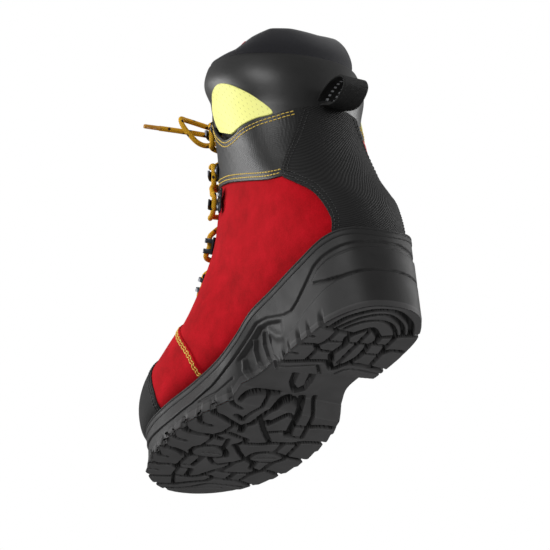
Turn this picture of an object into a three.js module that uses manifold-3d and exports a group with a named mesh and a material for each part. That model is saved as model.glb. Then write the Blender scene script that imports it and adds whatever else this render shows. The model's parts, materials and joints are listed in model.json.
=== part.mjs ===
// A high lace-up work boot (left foot) with a lugged rubber sole.
// Millimetres, +Z up, toe towards -Y, the outer (lateral) side towards +X, standing on its tread.
// Most places are given as (a, z): a is the distance forward from the back of the heel.
import * as THREE from 'three'
import { mergeVertices } from 'three/addons/utils/BufferGeometryUtils.js'
import Module from 'manifold-3d'

const wasm = await Module()
wasm.setup()

// ---- driving dimensions ----
const CENTRE_X = 0.4
const CENTRE_A = 156.65
const GAP = 0.3
const LEATHER = 2.0
const STIFFENER_OUT = -2.3
const STIFFENER_IN = -4.0
const LINING_OUT = -4.3
const LINING_IN = -6.5
const FOOTBED_OUT = -6.8
const FOOTBED_IN = -10.8
const OUTSOLE_HEIGHT = 13
const TREAD_DEPTH = 6
const RAND_HEIGHT = 6
const LACE_D = 4
const STRAP_X = [-7, 14]

// Section planes of the upper, from the toe tip to the top of the shaft:
// back point (a, z), front point (a, z), half width outer side, half width inner side,
// widest place along the plane (0 back, 1 front), roundness of the back part and of the front part.
const SECTIONS = [
  [304, 36, 304, 46, 1, 1, 0.5, 2, 2],
  [300, 31, 301, 66, 21, 22, 0.42, 2.5, 2.1],
  [289, 30, 292, 82, 37, 37, 0.38, 2.9, 2.2],
  [266, 29, 269, 92, 48, 47, 0.35, 3, 2.3],
  [235, 28, 239, 101, 52, 51, 0.34, 3, 2.3],
  [200, 29, 211, 116, 52, 51, 0.33, 3, 2.2],
  [160, 31, 194, 138, 50, 46, 0.32, 3, 2.2],
  [118, 36, 185, 160, 47, 42, 0.33, 2.8, 2.2],
  [75, 40, 181, 178, 48, 40, 0.36, 2.6, 2.2],
  [36, 44, 178, 193, 49, 40, 0.4, 2.4, 2.2],
  [12, 58, 175, 206, 50, 40, 0.42, 2.3, 2.2],
  [14, 92, 171, 218, 51, 41, 0.44, 2.2, 2.2],
  [31, 126, 167, 229, 52, 41, 0.45, 2.1, 2.2],
  [44, 158, 164, 241, 54, 43, 0.46, 2.1, 2.1],
  [48, 188, 161, 253, 56, 46, 0.47, 2.1, 2.1],
  [47, 214, 159, 265, 57, 48, 0.48, 2.1, 2.1],
  [49, 238, 157, 278, 55, 48, 0.48, 2.1, 2.1],
]
const TOP_V = SECTIONS.length - 1

// Half the gap between the two lace facings, by section number.
const THROAT = [[4.0, 3], [4.4, 11], [5, 15], [6, 19], [8, 23], [10, 24], [12, 25], [14, 27], [16, 29], [18, 30]]
const THROAT_START = 4.0

// Panel edges, seen from the side, as (a, z).
const TOE_EDGE = [[248, 20], [245, 44], [247, 56], [252, 72], [259, 100], [262, 120]]
const VAMP_SEAM = [[191, 15], [190, 46], [195, 61], [206, 78], [216, 92], [230, 112]]
const COUNTER_EDGE = [[28, 40], [26, 66], [24, 78], [28, 93], [35, 107], [45, 118], [56, 129]]
const COUNTER_UPPER = [[56, 129], [57, 137], [56, 155], [55, 173], [53, 191]]
const BAND_LOW = [[56, 129.5], [72, 135], [98, 149], [127, 165], [145, 174], [160, 182], [176, 193], [190, 203]]
const BAND_HIGH = [[53, 191], [60, 189], [66, 188], [78, 188.5], [94, 189.5], [104, 190.5], [116, 195], [127, 205],
  [136, 216], [143, 229], [150, 245], [165, 275]]
const HIVIS = [[65, 190], [76, 190], [88, 191], [102, 192], [114, 197], [123.5, 207], [129, 220], [128, 229],
  [122, 233.5], [115, 235], [106, 234.5], [98, 231], [88, 223], [75, 208]]
const COLLAR_TOP_V = 16

// Outline of the tread, as (x, a, height of its lower face), round from the back of the heel.
const TREAD = [
  [0, 2, 0], [24, 9, 0], [38, 32, 0], [42, 62, 0], [42, 92, 0], [36, 118, 0], [38, 142, 0],
  [48, 168, 0], [57, 200, 0], [57, 233, 0.5], [50, 264, 3], [36, 292, 6], [14, 309, 8], [-10, 310, 8],
  [-31, 298, 6.5], [-46, 276, 4], [-54, 250, 1.5], [-57, 222, 0.2], [-56, 192, 0], [-48, 157, 0],
  [-37, 130, 0], [-36, 108, 0], [-38, 86, 0], [-38, 60, 0], [-34, 32, 0], [-20, 9, 0],
]
// The same way round: the rand's outer edge and the height of its top.
const RAND = [
  [0, 6, 67], [26, 13, 68], [38, 30, 67], [44, 58, 60], [46, 90, 55], [47, 118, 52], [46, 142, 45],
  [46, 168, 39], [48, 200, 36], [50, 233, 36], [47, 264, 37], [35, 290, 40], [14, 307, 43], [-11, 308, 43],
  [-30, 295, 40], [-44, 274, 37], [-50, 250, 36], [-50, 222, 36], [-47, 192, 37], [-45, 157, 42],
  [-42, 130, 50], [-40, 108, 55], [-40, 86, 60], [-40, 58, 67], [-34, 30, 72], [-24, 13, 71],
]

// ---- colours ----
const RED = 0xb01020
const BLACK = 0x1a1a1c
const YELLOW = 0xe8e07a
const LACE = 0xe0a010
const STEEL = 0x4a4c50

const boot = new THREE.Group()

function material(color, roughness, metalness = 0) {
  return new THREE.MeshStandardMaterial({ color, roughness, metalness })
}

// ---- solids ----
function solid(geometry) {
  const bare = geometry.index ? geometry.toNonIndexed() : geometry.clone()
  for (const name of Object.keys(bare.attributes)) if (name !== 'position') bare.deleteAttribute(name)
  const merged = mergeVertices(bare, 1e-4)
  const triVerts = new Uint32Array(merged.index.array)
  const vertProperties = new Float32Array(merged.attributes.position.array)
  return new wasm.Manifold(new wasm.Mesh({ numProp: 3, vertProperties, triVerts }))
}

function triangles(positions, index) {
  const geometry = new THREE.BufferGeometry()
  geometry.setAttribute('position', new THREE.Float32BufferAttribute(positions, 3))
  geometry.setIndex(index)
  return geometry
}

function geometryOf(piece) {
  const mesh = piece.getMesh()
  return triangles([...mesh.vertProperties], [...mesh.triVerts])
}

function coordinates(points) {
  return points.flatMap((p) => [p.x, p.y, p.z])
}

function add(name, piece, color, roughness, metalness) {
  const mesh = new THREE.Mesh(geometryOf(piece), material(color, roughness, metalness))
  mesh.name = name
  boot.add(mesh)
}

// A closed skin through rings that all have the same number of points.
function loft(rings) {
  const count = rings[0].length
  const points = rings.flat()
  const faces = []
  for (let i = 0; i + 1 < rings.length; i++) {
    for (let j = 0; j < count; j++) {
      const a = i * count + j
      const b = i * count + (j + 1) % count
      faces.push(a, b, a + count, b, b + count, a + count)
    }
  }
  // Each end is closed by strips between its two halves.
  for (const [base, last] of [[0, false], [(rings.length - 1) * count, true]]) {
    for (let j = 0; j + 1 < count - j; j++) {
      const [a, b, c, d] = [base + j, base + j + 1, base + count - j - 1, base + (count - j) % count]
      if (c > b) faces.push(...(last ? [a, b, c] : [b, a, c]))
      if (j > 0) faces.push(...(last ? [a, c, d] : [c, a, d]))
    }
  }
  return outward(coordinates(points), faces)
}

// Turns the faces round if the rings ran the other way.
function outward(positions, faces) {
  const piece = solid(triangles(positions, faces))
  if (piece.volume() > 0) return piece
  return solid(triangles(positions, faces.reverse()))
}

function place(x, a, z) {
  return new THREE.Vector3(x - CENTRE_X, CENTRE_A - a, z)
}

function extruded(shape, depth, move) {
  return solid(move(new THREE.ExtrudeGeometry(shape, { depth, bevelEnabled: false })))
}

// A prism through the whole width, from an outline in (a, z).
function sidePrism(outline, x0 = -95, x1 = 95) {
  const shape = new THREE.Shape(outline.map(([a, z]) => new THREE.Vector2(CENTRE_A - a, z)))
  const turned = new THREE.Matrix4().set(0, 0, 1, x0 - CENTRE_X, 1, 0, 0, 0, 0, 1, 0, 0, 0, 0, 0, 1)
  return extruded(shape, x1 - x0, (geometry) => geometry.applyMatrix4(turned))
}

// An upright prism from an outline in (x, a).
function plateauPrism(outline, z0, z1) {
  const points = outline.map(([x, a]) => new THREE.Vector2(x - CENTRE_X, CENTRE_A - a))
  return extruded(new THREE.Shape(points), z1 - z0, (geometry) => geometry.translate(0, 0, z0))
}

function tube(points, radius, sides, steps) {
  const curve = new THREE.CatmullRomCurve3(points)
  const round = new THREE.Shape()
  for (let i = 0; i <= sides; i++) {
    const turn = i / sides * Math.PI * 2
    const x = radius * Math.cos(turn)
    const y = radius * Math.sin(turn)
    if (i === 0) round.moveTo(x, y)
    else round.lineTo(x, y)
  }
  return solid(new THREE.ExtrudeGeometry(round, { steps, extrudePath: curve, bevelEnabled: false }))
}

// ---- smooth tables ----
function smooth(table, t, closed = false) {
  const n = table.length
  const at = (k) => table[closed ? (k + n) % n : Math.min(Math.max(k, 0), n - 1)]
  const clamped = closed ? t : Math.min(Math.max(t, 0), n - 1 - 1e-9)
  const i = Math.floor(clamped)
  const u = clamped - i
  const [p0, p1, p2, p3] = [at(i - 1), at(i), at(i + 1), at(i + 2)]
  return p1.map((_, k) => 0.5 * (2 * p1[k] + (p2[k] - p0[k]) * u
    + (2 * p0[k] - 5 * p1[k] + 4 * p2[k] - p3[k]) * u * u
    + (3 * p1[k] - p0[k] - 3 * p2[k] + p3[k]) * u * u * u))
}

function curveThrough(points, perSpan = 3) {
  const out = []
  for (let i = 0; i <= (points.length - 1) * perSpan; i++) out.push(smooth(points, i / perSpan))
  return out
}

function linear(table, v) {
  if (v <= table[0][0]) return table[0][1]
  for (let i = 0; i + 1 < table.length; i++) {
    const [[v0, g0], [v1, g1]] = [table[i], table[i + 1]]
    if (v <= v1) return g0 + (g1 - g0) * (v - v0) / (v1 - v0)
  }
  return table[table.length - 1][1]
}

// ---- the upper's surface ----
// The section table grown outwards by some millimetres, or shrunk when it is negative.
const TOE_SHARE = [1, 0.75, 0.45, 0.2]
function grown(by) {
  return SECTIONS.map(([ba, bz, fa, fz, wide, narrow, m, pb, pf], i) => {
    const length = Math.hypot(fa - ba, fz - bz)
    const reach = i === 0 ? 0 : by
    const da = (fa - ba) / length * reach
    const dz = (fz - bz) / length * reach
    const forward = (TOE_SHARE[i] ?? 0) * by
    const side = i === 0 ? 0 : by
    return [ba - da + forward, bz - dz, fa + da + forward, fz + dz, wide + side, narrow + side, m, pb, pf]
  })
}

// One half of a section: turn runs from 0 at the back to PI at the front.
function sectionPoint(table, v, turn, side) {
  const [ba, bz, fa, fz, wide, narrow, m, pb, pf] = smooth(table, v)
  const s = 0.5 * (1 - Math.cos(turn))
  const back = Math.min(Math.max((m - s) / m, 0), 1)
  const front = Math.min(Math.max((s - m) / (1 - m), 0), 1)
  const profile = s < m ? (1 - back ** pb) ** (1 / pb) : (1 - front ** pf) ** (1 / pf)
  const half = side > 0 ? wide : narrow
  return place(side * half * profile, ba + (fa - ba) * s, bz + (fz - bz) * s)
}

// Every layer has the same steps, so that layers never cross. v0 and v1 are whole steps.
const STEP = 0.8
const TURNS = 10
function body(by, v0, v1, rise = 0) {
  const table = grown(by)
  const rings = []
  const count = Math.round((v1 - v0) / STEP)
  for (let i = 0; i <= count; i++) {
    const v = v0 + (v1 - v0) * i / count
    const ring = []
    for (let j = 0; j < TURNS; j++) ring.push(sectionPoint(table, v, j / TURNS * Math.PI, 1))
    for (let j = TURNS; j > 0; j--) ring.push(sectionPoint(table, v, j / TURNS * Math.PI, -1))
    rings.push(ring)
  }
  if (rise) rings.push(rings[rings.length - 1].map((p) => p.clone().add(new THREE.Vector3(0, 0, rise))))
  return loft(rings)
}

function shell(outer, inner, v0, v1) {
  return body(outer, v0, v1).subtract(body(inner, v0, v1, 30))
}

// Where a section meets the plane x = side * x on its front half.
function frontPoint(v, x, side, by = 0) {
  const table = grown(by)
  let low = Math.PI / 2
  let high = Math.PI
  for (let i = 0; i < 40; i++) {
    const middle = (low + high) / 2
    const found = (sectionPoint(table, v, middle, side).x + CENTRE_X) * side
    if (found > x) low = middle
    else high = middle
  }
  return sectionPoint(table, v, (low + high) / 2, side)
}

// Place, outward normal, upward tangent and inward tangent of the facing.
function facingFrame(v, x, side, lift) {
  const origin = frontPoint(v, x, side)
  const up = frontPoint(v + 0.2, x, side).sub(frontPoint(v - 0.2, x, side)).normalize()
  const across = frontPoint(v, x - 2, side).sub(frontPoint(v, x + 2, side)).normalize()
  const normal = new THREE.Vector3().crossVectors(across, up).normalize()
  if (normal.y > 0) normal.negate()
  const inward = new THREE.Vector3().crossVectors(normal, up).normalize()
  if (inward.x * side > 0) inward.negate()
  return { origin: origin.addScaledVector(normal, lift), up, inward, normal }
}

function framed(piece, frame) {
  const { origin, up, inward, normal } = frame
  const matrix = new THREE.Matrix4().makeBasis(inward, up, normal).setPosition(origin)
  const geometry = geometryOf(piece).applyMatrix4(matrix)
  return outward([...geometry.attributes.position.array], [...geometry.index.array])
}

// The opening between the facings, as a solid that cuts through every layer.
function throatCutter(wider = 0) {
  const rings = []
  for (let v = THROAT_START; v <= TOP_V + 0.01; v += STEP) {
    const [ba, bz, fa, fz] = smooth(SECTIONS, v)
    const length = Math.hypot(fa - ba, fz - bz)
    const da = (fa - ba) / length
    const dz = (fz - bz) / length
    const half = linear(THROAT, v) + wider
    const corner = (x, d) => place(x, fa + da * d, fz + dz * d)
    rings.push([corner(-half, -30), corner(half, -30), corner(half, 30), corner(-half, 30)])
  }
  const last = rings[rings.length - 1]
  rings.push(last.map((p) => p.clone().add(new THREE.Vector3(0, -10, 40))))
  return loft(rings)
}

// A thin curtain along an edge, which leaves the gap between two panels.
function curtain(points, closed = false) {
  const line = closed ? [...points, points[0]] : points
  const half = GAP / 2
  let all = null
  for (let i = 0; i + 1 < line.length; i++) {
    const [a0, z0] = line[i]
    const [a1, z1] = line[i + 1]
    const length = Math.hypot(a1 - a0, z1 - z0)
    const ua = (a1 - a0) / length
    const uz = (z1 - z0) / length
    const quad = [[-1, -1], [1, -1], [1, 1], [-1, 1]].map(([along, aside]) => [
      (along < 0 ? a0 : a1) + ua * along * half - uz * aside * half,
      (along < 0 ? z0 : z1) + uz * along * half + ua * aside * half])
    const piece = sidePrism(quad)
    all = all ? all.add(piece) : piece
  }
  return all
}

// ---- sole ----
const AROUND = 52
function soleLoop(share, height, inset = 0) {
  const ring = []
  const n = TREAD.length
  for (let i = 0; i < AROUND; i++) {
    const t = i / AROUND * n
    const [tx, ta, tz] = smooth(TREAD, t, true)
    const [rx, ra, rz] = smooth(RAND, t, true)
    const x = tx + (rx - tx) * share
    const a = ta + (ra - ta) * share
    const centre = Math.min(Math.max(a, 45), 265)
    const length = Math.hypot(x, a - centre) || 1
    ring.push(place(x - x / length * inset, a - (a - centre) / length * inset, height(tz, rz)))
  }
  return ring
}

const ARCH = [[96, -2], [98, 8], [104, 9.5], [150, 9], [157, 7], [160, -2]]
const cavity = body(GAP, 0, TOP_V)

function outsole() {
  let piece = loft([
    soleLoop(0, (low) => Math.max(low, 0), 2),
    soleLoop(0, (low) => low + 3),
    soleLoop(0.15, (low) => low + OUTSOLE_HEIGHT),
  ]).subtract(sidePrism(ARCH))
  const groove = (x0, a0, x1, a1, width, top = TREAD_DEPTH) => {
    const length = Math.hypot(x1 - x0, a1 - a0)
    const ux = (x1 - x0) / length * width / 2
    const ua = (a1 - a0) / length * width / 2
    const outline = [[x0 - ua, a0 + ux], [x1 - ua, a1 + ux], [x1 + ua, a1 - ux], [x0 + ua, a0 - ux]]
    return plateauPrism(outline, -1, top)
  }
  const cuts = []
  for (const side of [-1, 1]) {
    for (const a of [178, 197, 216, 235]) cuts.push(groove(side * 9, a + 7, side * 66, a - 6, 3.4))
    cuts.push(groove(side * 9, 255, side * 62, 248, 3.4, TREAD_DEPTH + 3))
    cuts.push(groove(side * 8, 276, side * 50, 272, 3.4, TREAD_DEPTH + 5))
    for (const a of [52, 70]) cuts.push(groove(side * 15, a + 4, side * 50, a - 4, 3.2))
  }
  cuts.push(groove(-42, 84, 42, 84, 3))
  for (const radius of [15, 27]) {
    const arc = []
    for (let i = 0; i <= 8; i++) {
      const turn = Math.PI * i / 8
      arc.push([(radius + 1.5) * Math.cos(turn), 42 - (radius + 1.5) * Math.sin(turn)])
    }
    for (let i = 8; i >= 0; i--) {
      const turn = Math.PI * i / 8
      arc.push([(radius - 1.5) * Math.cos(turn), 42 - (radius - 1.5) * Math.sin(turn)])
    }
    cuts.push(plateauPrism(arc, -1, TREAD_DEPTH))
  }
  cuts.push(plateauPrism([[4, 110], [17, 127], [4, 148], [-9, 127]], 5, 12))
  for (const cut of cuts) piece = piece.subtract(cut)
  return piece
}

// The shank lies in a slot that is open to the board above it.
const SHANK = { x: 9, a0: 72, z0: 35.2, a1: 160, z1: 26, thick: 1.6 }
function shankBox(grow = 0, above = 0) {
  const { x, a0, z0, a1, z1, thick } = SHANK
  const outline = [[a0 - grow, z0 - grow], [a1 + grow, z1 - grow], [a1 + grow, z1 + thick + above],
    [a0 - grow, z0 + thick + above]]
  return sidePrism(outline, -x - grow, x + grow)
}

function midsole() {
  const low = (share) => (tz, rz) => {
    const bottom = tz + OUTSOLE_HEIGHT + GAP
    return bottom + (rz - RAND_HEIGHT - GAP - bottom) * share
  }
  return loft([
    soleLoop(0.15, low(0), 0.5),
    soleLoop(0.45, low(0.35), 0.5),
    soleLoop(0.8, low(0.75)),
    soleLoop(1, (tz, rz) => rz - RAND_HEIGHT - GAP),
  ]).subtract(cavity).subtract(shankBox(GAP, 9))
}

function rand() {
  return loft([
    soleLoop(1, (tz, rz) => rz - RAND_HEIGHT, -0.6),
    soleLoop(1, (tz, rz) => rz - RAND_HEIGHT / 2, -1),
    soleLoop(1, (tz, rz) => rz, 0.4),
  ]).subtract(cavity)
}

function belowRandTop() {
  return loft([soleLoop(1, () => 10, -6), soleLoop(1, (tz, rz) => rz + 1.6, -6)])
}

// ---- upper panels ----
const FAR = 400
const leatherSkin = shell(0, -LEATHER, 0, COLLAR_TOP_V)
const counterEdge = [...COUNTER_EDGE, ...COUNTER_UPPER.slice(1)]
// The leather reaches down inside the sole to this line.
const FOOT_LINE = [[-20, 54], [20, 52], [50, 47], [100, 42], [160, 34.5], [200, 32], [250, 31.5], [FAR, 32]]
const aboveFoot = sidePrism([...FOOT_LINE, [FAR, FAR], [-20, FAR]])
const leather = leatherSkin.intersect(aboveFoot)
  .subtract(curtain(VAMP_SEAM))
  .subtract(curtain(counterEdge))
  .subtract(curtain(BAND_LOW))
  .subtract(curtain([[20, 193], [47, 192.5], ...BAND_HIGH]))
  .subtract(curtain(HIVIS, true))
  .subtract(throatCutter())

function panel(outline, x0, x1) {
  return leather.intersect(sidePrism(outline, x0, x1))
}

function buildPanels() {
  const vamp = [...VAMP_SEAM, [FAR, 112], [FAR, 0], [191, 0]]
  add('vamp', panel(vamp), RED, 0.9)
  const quarter = [...counterEdge.filter(([, z]) => z <= 131), ...BAND_LOW.slice(1), [230, 200], [230, 112],
    ...VAMP_SEAM.slice().reverse(), [28, 15]]
  const band = [...COUNTER_UPPER.slice(1).reverse(), [57, 130.4], ...BAND_LOW.slice(1), [200, 240],
    ...BAND_HIGH.slice().reverse()]
  for (const [side, x0, x1] of [['left', 0.2, 95], ['right', -95, -0.2]]) {
    add(`quarter_${side}`, panel(quarter, x0, x1), RED, 0.9)
    add(`ankle_band_${side}`, panel(band, x0, x1), BLACK, 0.5)
    add(`hivis_panel_${side}`, panel(HIVIS, x0, x1), YELLOW, 0.6)
  }
  const counter = [...counterEdge, [47, 192.5], [-20, 193], [-20, 15], [28, 15]]
  add('heel_counter', panel(counter), BLACK, 0.8)
  const collar = [[-20, 193], [47, 192.5], ...BAND_HIGH, [FAR, 262], [FAR, FAR], [-20, FAR]]
  add('collar', panel(collar).subtract(sidePrism(HIVIS)), BLACK, 0.45)
  const toe = [...TOE_EDGE, [FAR, 120], [FAR, 20]]
  const guard = shell(GAP + LEATHER, GAP, 0, 5.6).intersect(sidePrism(toe)).subtract(belowRandTop())
  add('toe_guard', guard, BLACK, 0.85)
}

// ---- inner layers ----
function buildInside() {
  const below = FOOT_LINE.map(([a, z]) => [a, z - GAP])
  const board = shell(0, -LEATHER, 0, 11.2).intersect(sidePrism([[-20, 20], ...below, [FAR, 20]]))
  add('insole_board', board, 0x9a7a50, 0.9)
  add('steel_shank', shankBox(), STEEL, 0.4, 1)
  const lining = shell(LINING_OUT, LINING_IN, 0, 12.8).subtract(throatCutter(-1))
  add('lining', lining, 0x2a2a2e, 1)
  const bed = body(FOOTBED_OUT, 0.8, 11.2).subtract(body(FOOTBED_IN, 0.8, 11.2, 30))
  const bedSide = [[-20, 20], [-20, 70], [40, 62], [110, 52], [170, 44], [300, 43], [300, 20]]
  add('footbed', bed.intersect(sidePrism(bedSide)), 0x55565a, 0.95)
  const stiff = shell(STIFFENER_OUT, STIFFENER_IN, 0, 12.8)
  const capSide = [[252, 33], [262, 120], [FAR, 120], [FAR, 33]]
  add('safety_toe_cap', stiff.intersect(sidePrism(capSide)), STEEL, 0.35, 1)
  const heelSide = [[-20, 56], [60, 50], [75, 62], [62, 96], [34, 112], [-20, 116]]
  add('heel_stiffener', stiff.intersect(sidePrism(heelSide)), 0xd8d2c0, 0.6)
}

// The padded ring inside the collar, which rises above the leather as a soft roll.
// The padding stands highest behind the ankle and lowest beside the tongue.
const PAD_RISE = [[0, 1.45], [0.75, 1.45], [1.3, 0.75], [3.2, 0.55]]
function collarPadding() {
  const low = 13.6
  const outer = grown(-2.4)
  const inner = grown(-13)
  const ringAt = (table, v, lift, blend = 0, other = table) => {
    const ring = []
    const point = (turn, side) => {
      const p = sectionPoint(table, v, turn, side).lerp(sectionPoint(other, v, turn, side), blend)
      return p.add(new THREE.Vector3(0, 0, lift * linear(PAD_RISE, turn)))
    }
    for (let j = 0; j < TURNS; j++) ring.push(point(j / TURNS * Math.PI, 1))
    for (let j = TURNS; j > 0; j--) ring.push(point(j / TURNS * Math.PI, -1))
    return ring
  }
  const rings = []
  for (let v = low; v < COLLAR_TOP_V - 0.1; v += STEP) rings.push(ringAt(outer, v, 0))
  const roll = [[0, 0], [-0.12, 7], [0.05, 14], [0.3, 18.5], [0.6, 19], [0.85, 16], [1, 9], [1, 0]]
  for (const [share, lift] of roll) rings.push(ringAt(outer, COLLAR_TOP_V, lift, share, inner))
  for (let v = COLLAR_TOP_V - STEP; v > low + 0.1; v -= STEP) rings.push(ringAt(inner, v, 0))
  rings.push(ringAt(inner, low, 0))
  const count = rings[0].length
  const points = rings.flat()
  const faces = []
  for (let i = 0; i < rings.length; i++) {
    const next = (i + 1) % rings.length
    for (let j = 0; j < count; j++) {
      const [a, b] = [i * count + j, i * count + (j + 1) % count]
      const [c, d] = [next * count + j, next * count + (j + 1) % count]
      faces.push(a, b, c, b, d, c)
    }
  }
  return outward(coordinates(points), faces).subtract(throatCutter(2))
}

// ---- tongue ----
const TONGUE_JOINT = 13.0
const TONGUE_TOP = 17
const TONGUE_OUT = -8.4
const TONGUE_IN = -13
function tonguePart(v0, v1, half, rise = 0) {
  const outer = grown(TONGUE_OUT)
  const inner = grown(TONGUE_IN)
  const rings = []
  const steps = Math.max(3, Math.round((v1 - v0) / 0.7))
  const across = 4
  for (let i = 0; i <= steps; i++) {
    const v = Math.min(v0 + (v1 - v0) * i / steps, TOP_V)
    const past = Math.max(v0 + (v1 - v0) * i / steps - TOP_V, 0)
    const lift = new THREE.Vector3(0, past * rise * 0.55, past * rise)
    const width = half(v0 + (v1 - v0) * i / steps)
    const row = (by) => {
      const line = []
      for (let j = -across; j <= across; j++) {
        const x = width * j / across
        line.push(frontPoint(v, Math.max(Math.abs(x), 0.01), x < 0 ? -1 : 1, by).add(lift))
      }
      return line
    }
    rings.push([...row(TONGUE_OUT), ...row(TONGUE_IN).reverse()])
  }
  return loft(rings)
}

// ---- lacing hardware ----
// Rows from the vamp upwards: section number, kind, and how far the leather's hollow lifts the plate.
const ROWS = [[4.55, 'loop', 2], [5.5, 'loop', 1.6], [6.8, 'loop', 0.6], [8.8, 'lock_hook', 0.8],
  [10.2, 'hook', 0.9], [12.6, 'hook', 0.6]]
const ROW_OFFSET = { loop: 7, lock_hook: 13, hook: 7 }
const HOOK_WIDTH = 8

function box(x0, x1, y0, y1, z0, z1) {
  const geometry = new THREE.BoxGeometry(x1 - x0, y1 - y0, z1 - z0)
  return solid(geometry.translate((x0 + x1) / 2, (y0 + y1) / 2, (z0 + z1) / 2))
}

function dome(x, y, radius, height) {
  const low = height * 0.3
  const high = height * 0.85
  const profile = [[0, 0], [radius, 0], [radius, low], [radius * 0.6, high], [0, height]]
  const geometry = new THREE.LatheGeometry(profile.map(([r, h]) => new THREE.Vector2(r, h)), 10)
  return solid(geometry.rotateX(Math.PI / 2).translate(x, y, 0))
}

// Local axes of the hardware: x towards the throat, y up the facing, z out of the leather.
function laceLoop() {
  let piece = box(-5, 5, -5.8, 6.6, GAP, 1.5)
  for (const y of [-5.6, 2.2]) {
    const arch = box(-4.9, 4.9, y, y + 3.4, GAP, 8.1)
    piece = piece.add(arch.subtract(box(-3.6, 3.6, y - 1, y + 4.4, 1.5, 6.9)))
  }
  return piece
}

function laceHook(plateWidth) {
  const outline = [[-plateWidth, GAP], [4.5, GAP], [5.6, 1.5], [5.8, 6.2], [4.6, 7.6], [-1.8, 8.4],
    [-2, 7.2], [3.6, 6.2], [4.1, 5.4], [4, 2.2], [3.2, 1.6], [-plateWidth, 1.6]]
  const shape = new THREE.Shape(outline.map(([x, z]) => new THREE.Vector2(x, z)))
  const turn = (geometry) => geometry.rotateX(Math.PI / 2).translate(0, HOOK_WIDTH / 2, 0)
  return extruded(shape, HOOK_WIDTH, turn)
}

function lockHook() {
  const plate = box(-17, -9, -8, 8, GAP, 1.6)
  return laceHook(12).add(plate).add(dome(-13, -4.6, 3.6, 3.2)).add(dome(-13, 4.6, 3.6, 3.2))
}

const HARDWARE = { loop: laceLoop(), hook: laceHook(9).add(dome(-6, 0, 3, 3)), lock_hook: lockHook() }

function buildHardware() {
  for (const [side, sign] of [['left', 1], ['right', -1]]) {
    ROWS.forEach(([v, kind, lift], i) => {
      const frame = facingFrame(v, linear(THROAT, v) + ROW_OFFSET[kind], sign, lift)
      add(`lace_${kind}_${side}_${i + 1}`, framed(HARDWARE[kind], frame), 0x2c2c30, 0.35, 1)
    })
  }
}

// ---- laces ----
const LACE_LIFT = 4.1
const KNOT = [3, 174, 243]

// The lace goes up through each loop, and round the outer side of each hook. Local axes as above.
const THROUGH_LOOP = [[0.4, -9.5, 0], [0, 0, 0], [0.4, 9.5, 0]]
const ROUND_HOOK = [[8.4, -9.2, 0.6], [1.4, -7.4, 0], [-0.3, 0, -0.3], [1.4, 7.4, 0], [8.4, 9.2, 0.6]]
function strandPoints(start) {
  const points = []
  let sign = start
  ROWS.forEach(([v, kind, lift], i) => {
    const frame = facingFrame(v, linear(THROAT, v) + ROW_OFFSET[kind], sign, lift)
    const overFacing = (dv) => frontPoint(v + dv, linear(THROAT, v) + 2, sign, 4.8)
    if (kind === 'lock_hook') points.push(overFacing(-0.85))
    for (const [x, y, z] of kind === 'loop' ? THROUGH_LOOP : ROUND_HOOK) {
      const { origin, up, inward, normal } = frame
      const point = origin.clone().addScaledVector(inward, x).addScaledVector(up, y)
      points.push(point.addScaledVector(normal, LACE_LIFT + z))
    }
    if (kind === 'lock_hook') points.push(overFacing(0.62))
    if (i + 1 < ROWS.length) {
      const middle = (v + ROWS[i + 1][0]) / 2
      points.push(frontPoint(middle, 0.01, 1, (start > 0 ? 3.4 : 6.2) + 1.5))
    }
    sign = -sign
  })
  return points
}

function buildLaces() {
  const knot = place(...KNOT)
  const bottom = frontPoint(4.1, 0.01, 1, 3.9)
  const run = (start) => tube([bottom, ...strandPoints(start), knot.clone()], LACE_D / 2, 6, 52)
  const ball = (radius, centre) => solid(new THREE.IcosahedronGeometry(radius, 1))
    .scale([1.25, 0.85, 0.8]).translate([centre.x, centre.y, centre.z])
  add('lace', run(1).add(run(-1)).add(ball(5.2, knot)).add(ball(2.8, bottom)), LACE, 0.8)
}

// Free cords, each starting just off the knot.
const CORDS = {
  bow_loop_left: [[10.6, 175, 244.5], [18, 178, 248], [30, 180, 251], [41, 180, 252],
    [46.5, 178, 250.5], [46, 176.5, 245], [41.5, 176, 236.5], [35, 176, 231], [27, 176.5, 230.5],
    [17, 176, 235], [10, 174.6, 239.3]],
  bow_loop_right: [[-4.4, 176, 244.5], [-12, 180, 247], [-23, 182, 246], [-33, 180, 241],
    [-39, 177, 233], [-40.5, 175, 225], [-36, 174, 219], [-28, 175, 219.5], [-20, 177, 226],
    [-11, 176.5, 235], [-4.6, 175, 239.3]],
  lace_end_left: [[10.8, 177.6, 241.5], [20, 181, 243.5], [33, 185, 245.5], [46, 188.5, 246.8],
    [58, 191, 247.4]],
  lace_end_right: [[-4.2, 179.2, 237.6], [-9, 184, 233], [-15, 186, 227], [-20, 187, 215],
    [-24, 188.5, 202], [-28, 190.5, 188]],
}
const AGLET_LENGTH = 12
const AGLET_D = 3.4

function buildCords() {
  for (const [name, route] of Object.entries(CORDS)) {
    const points = route.map((p) => place(...p))
    add(name, tube(points, LACE_D / 2, 8, name.startsWith('bow') ? 26 : 12), LACE, 0.8)
    if (name.startsWith('bow')) continue
    const tip = points[points.length - 1]
    const along = tip.clone().sub(points[points.length - 2]).normalize()
    const from = tip.clone().addScaledVector(along, GAP)
    const to = from.clone().addScaledVector(along, AGLET_LENGTH)
    const aglet = tube([from, from.clone().lerp(to, 0.5), to], AGLET_D / 2, 8, 2)
    add(name.replace('lace_end', 'aglet'), aglet, 0xd8d8d8, 0.2)
  }
}

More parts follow.
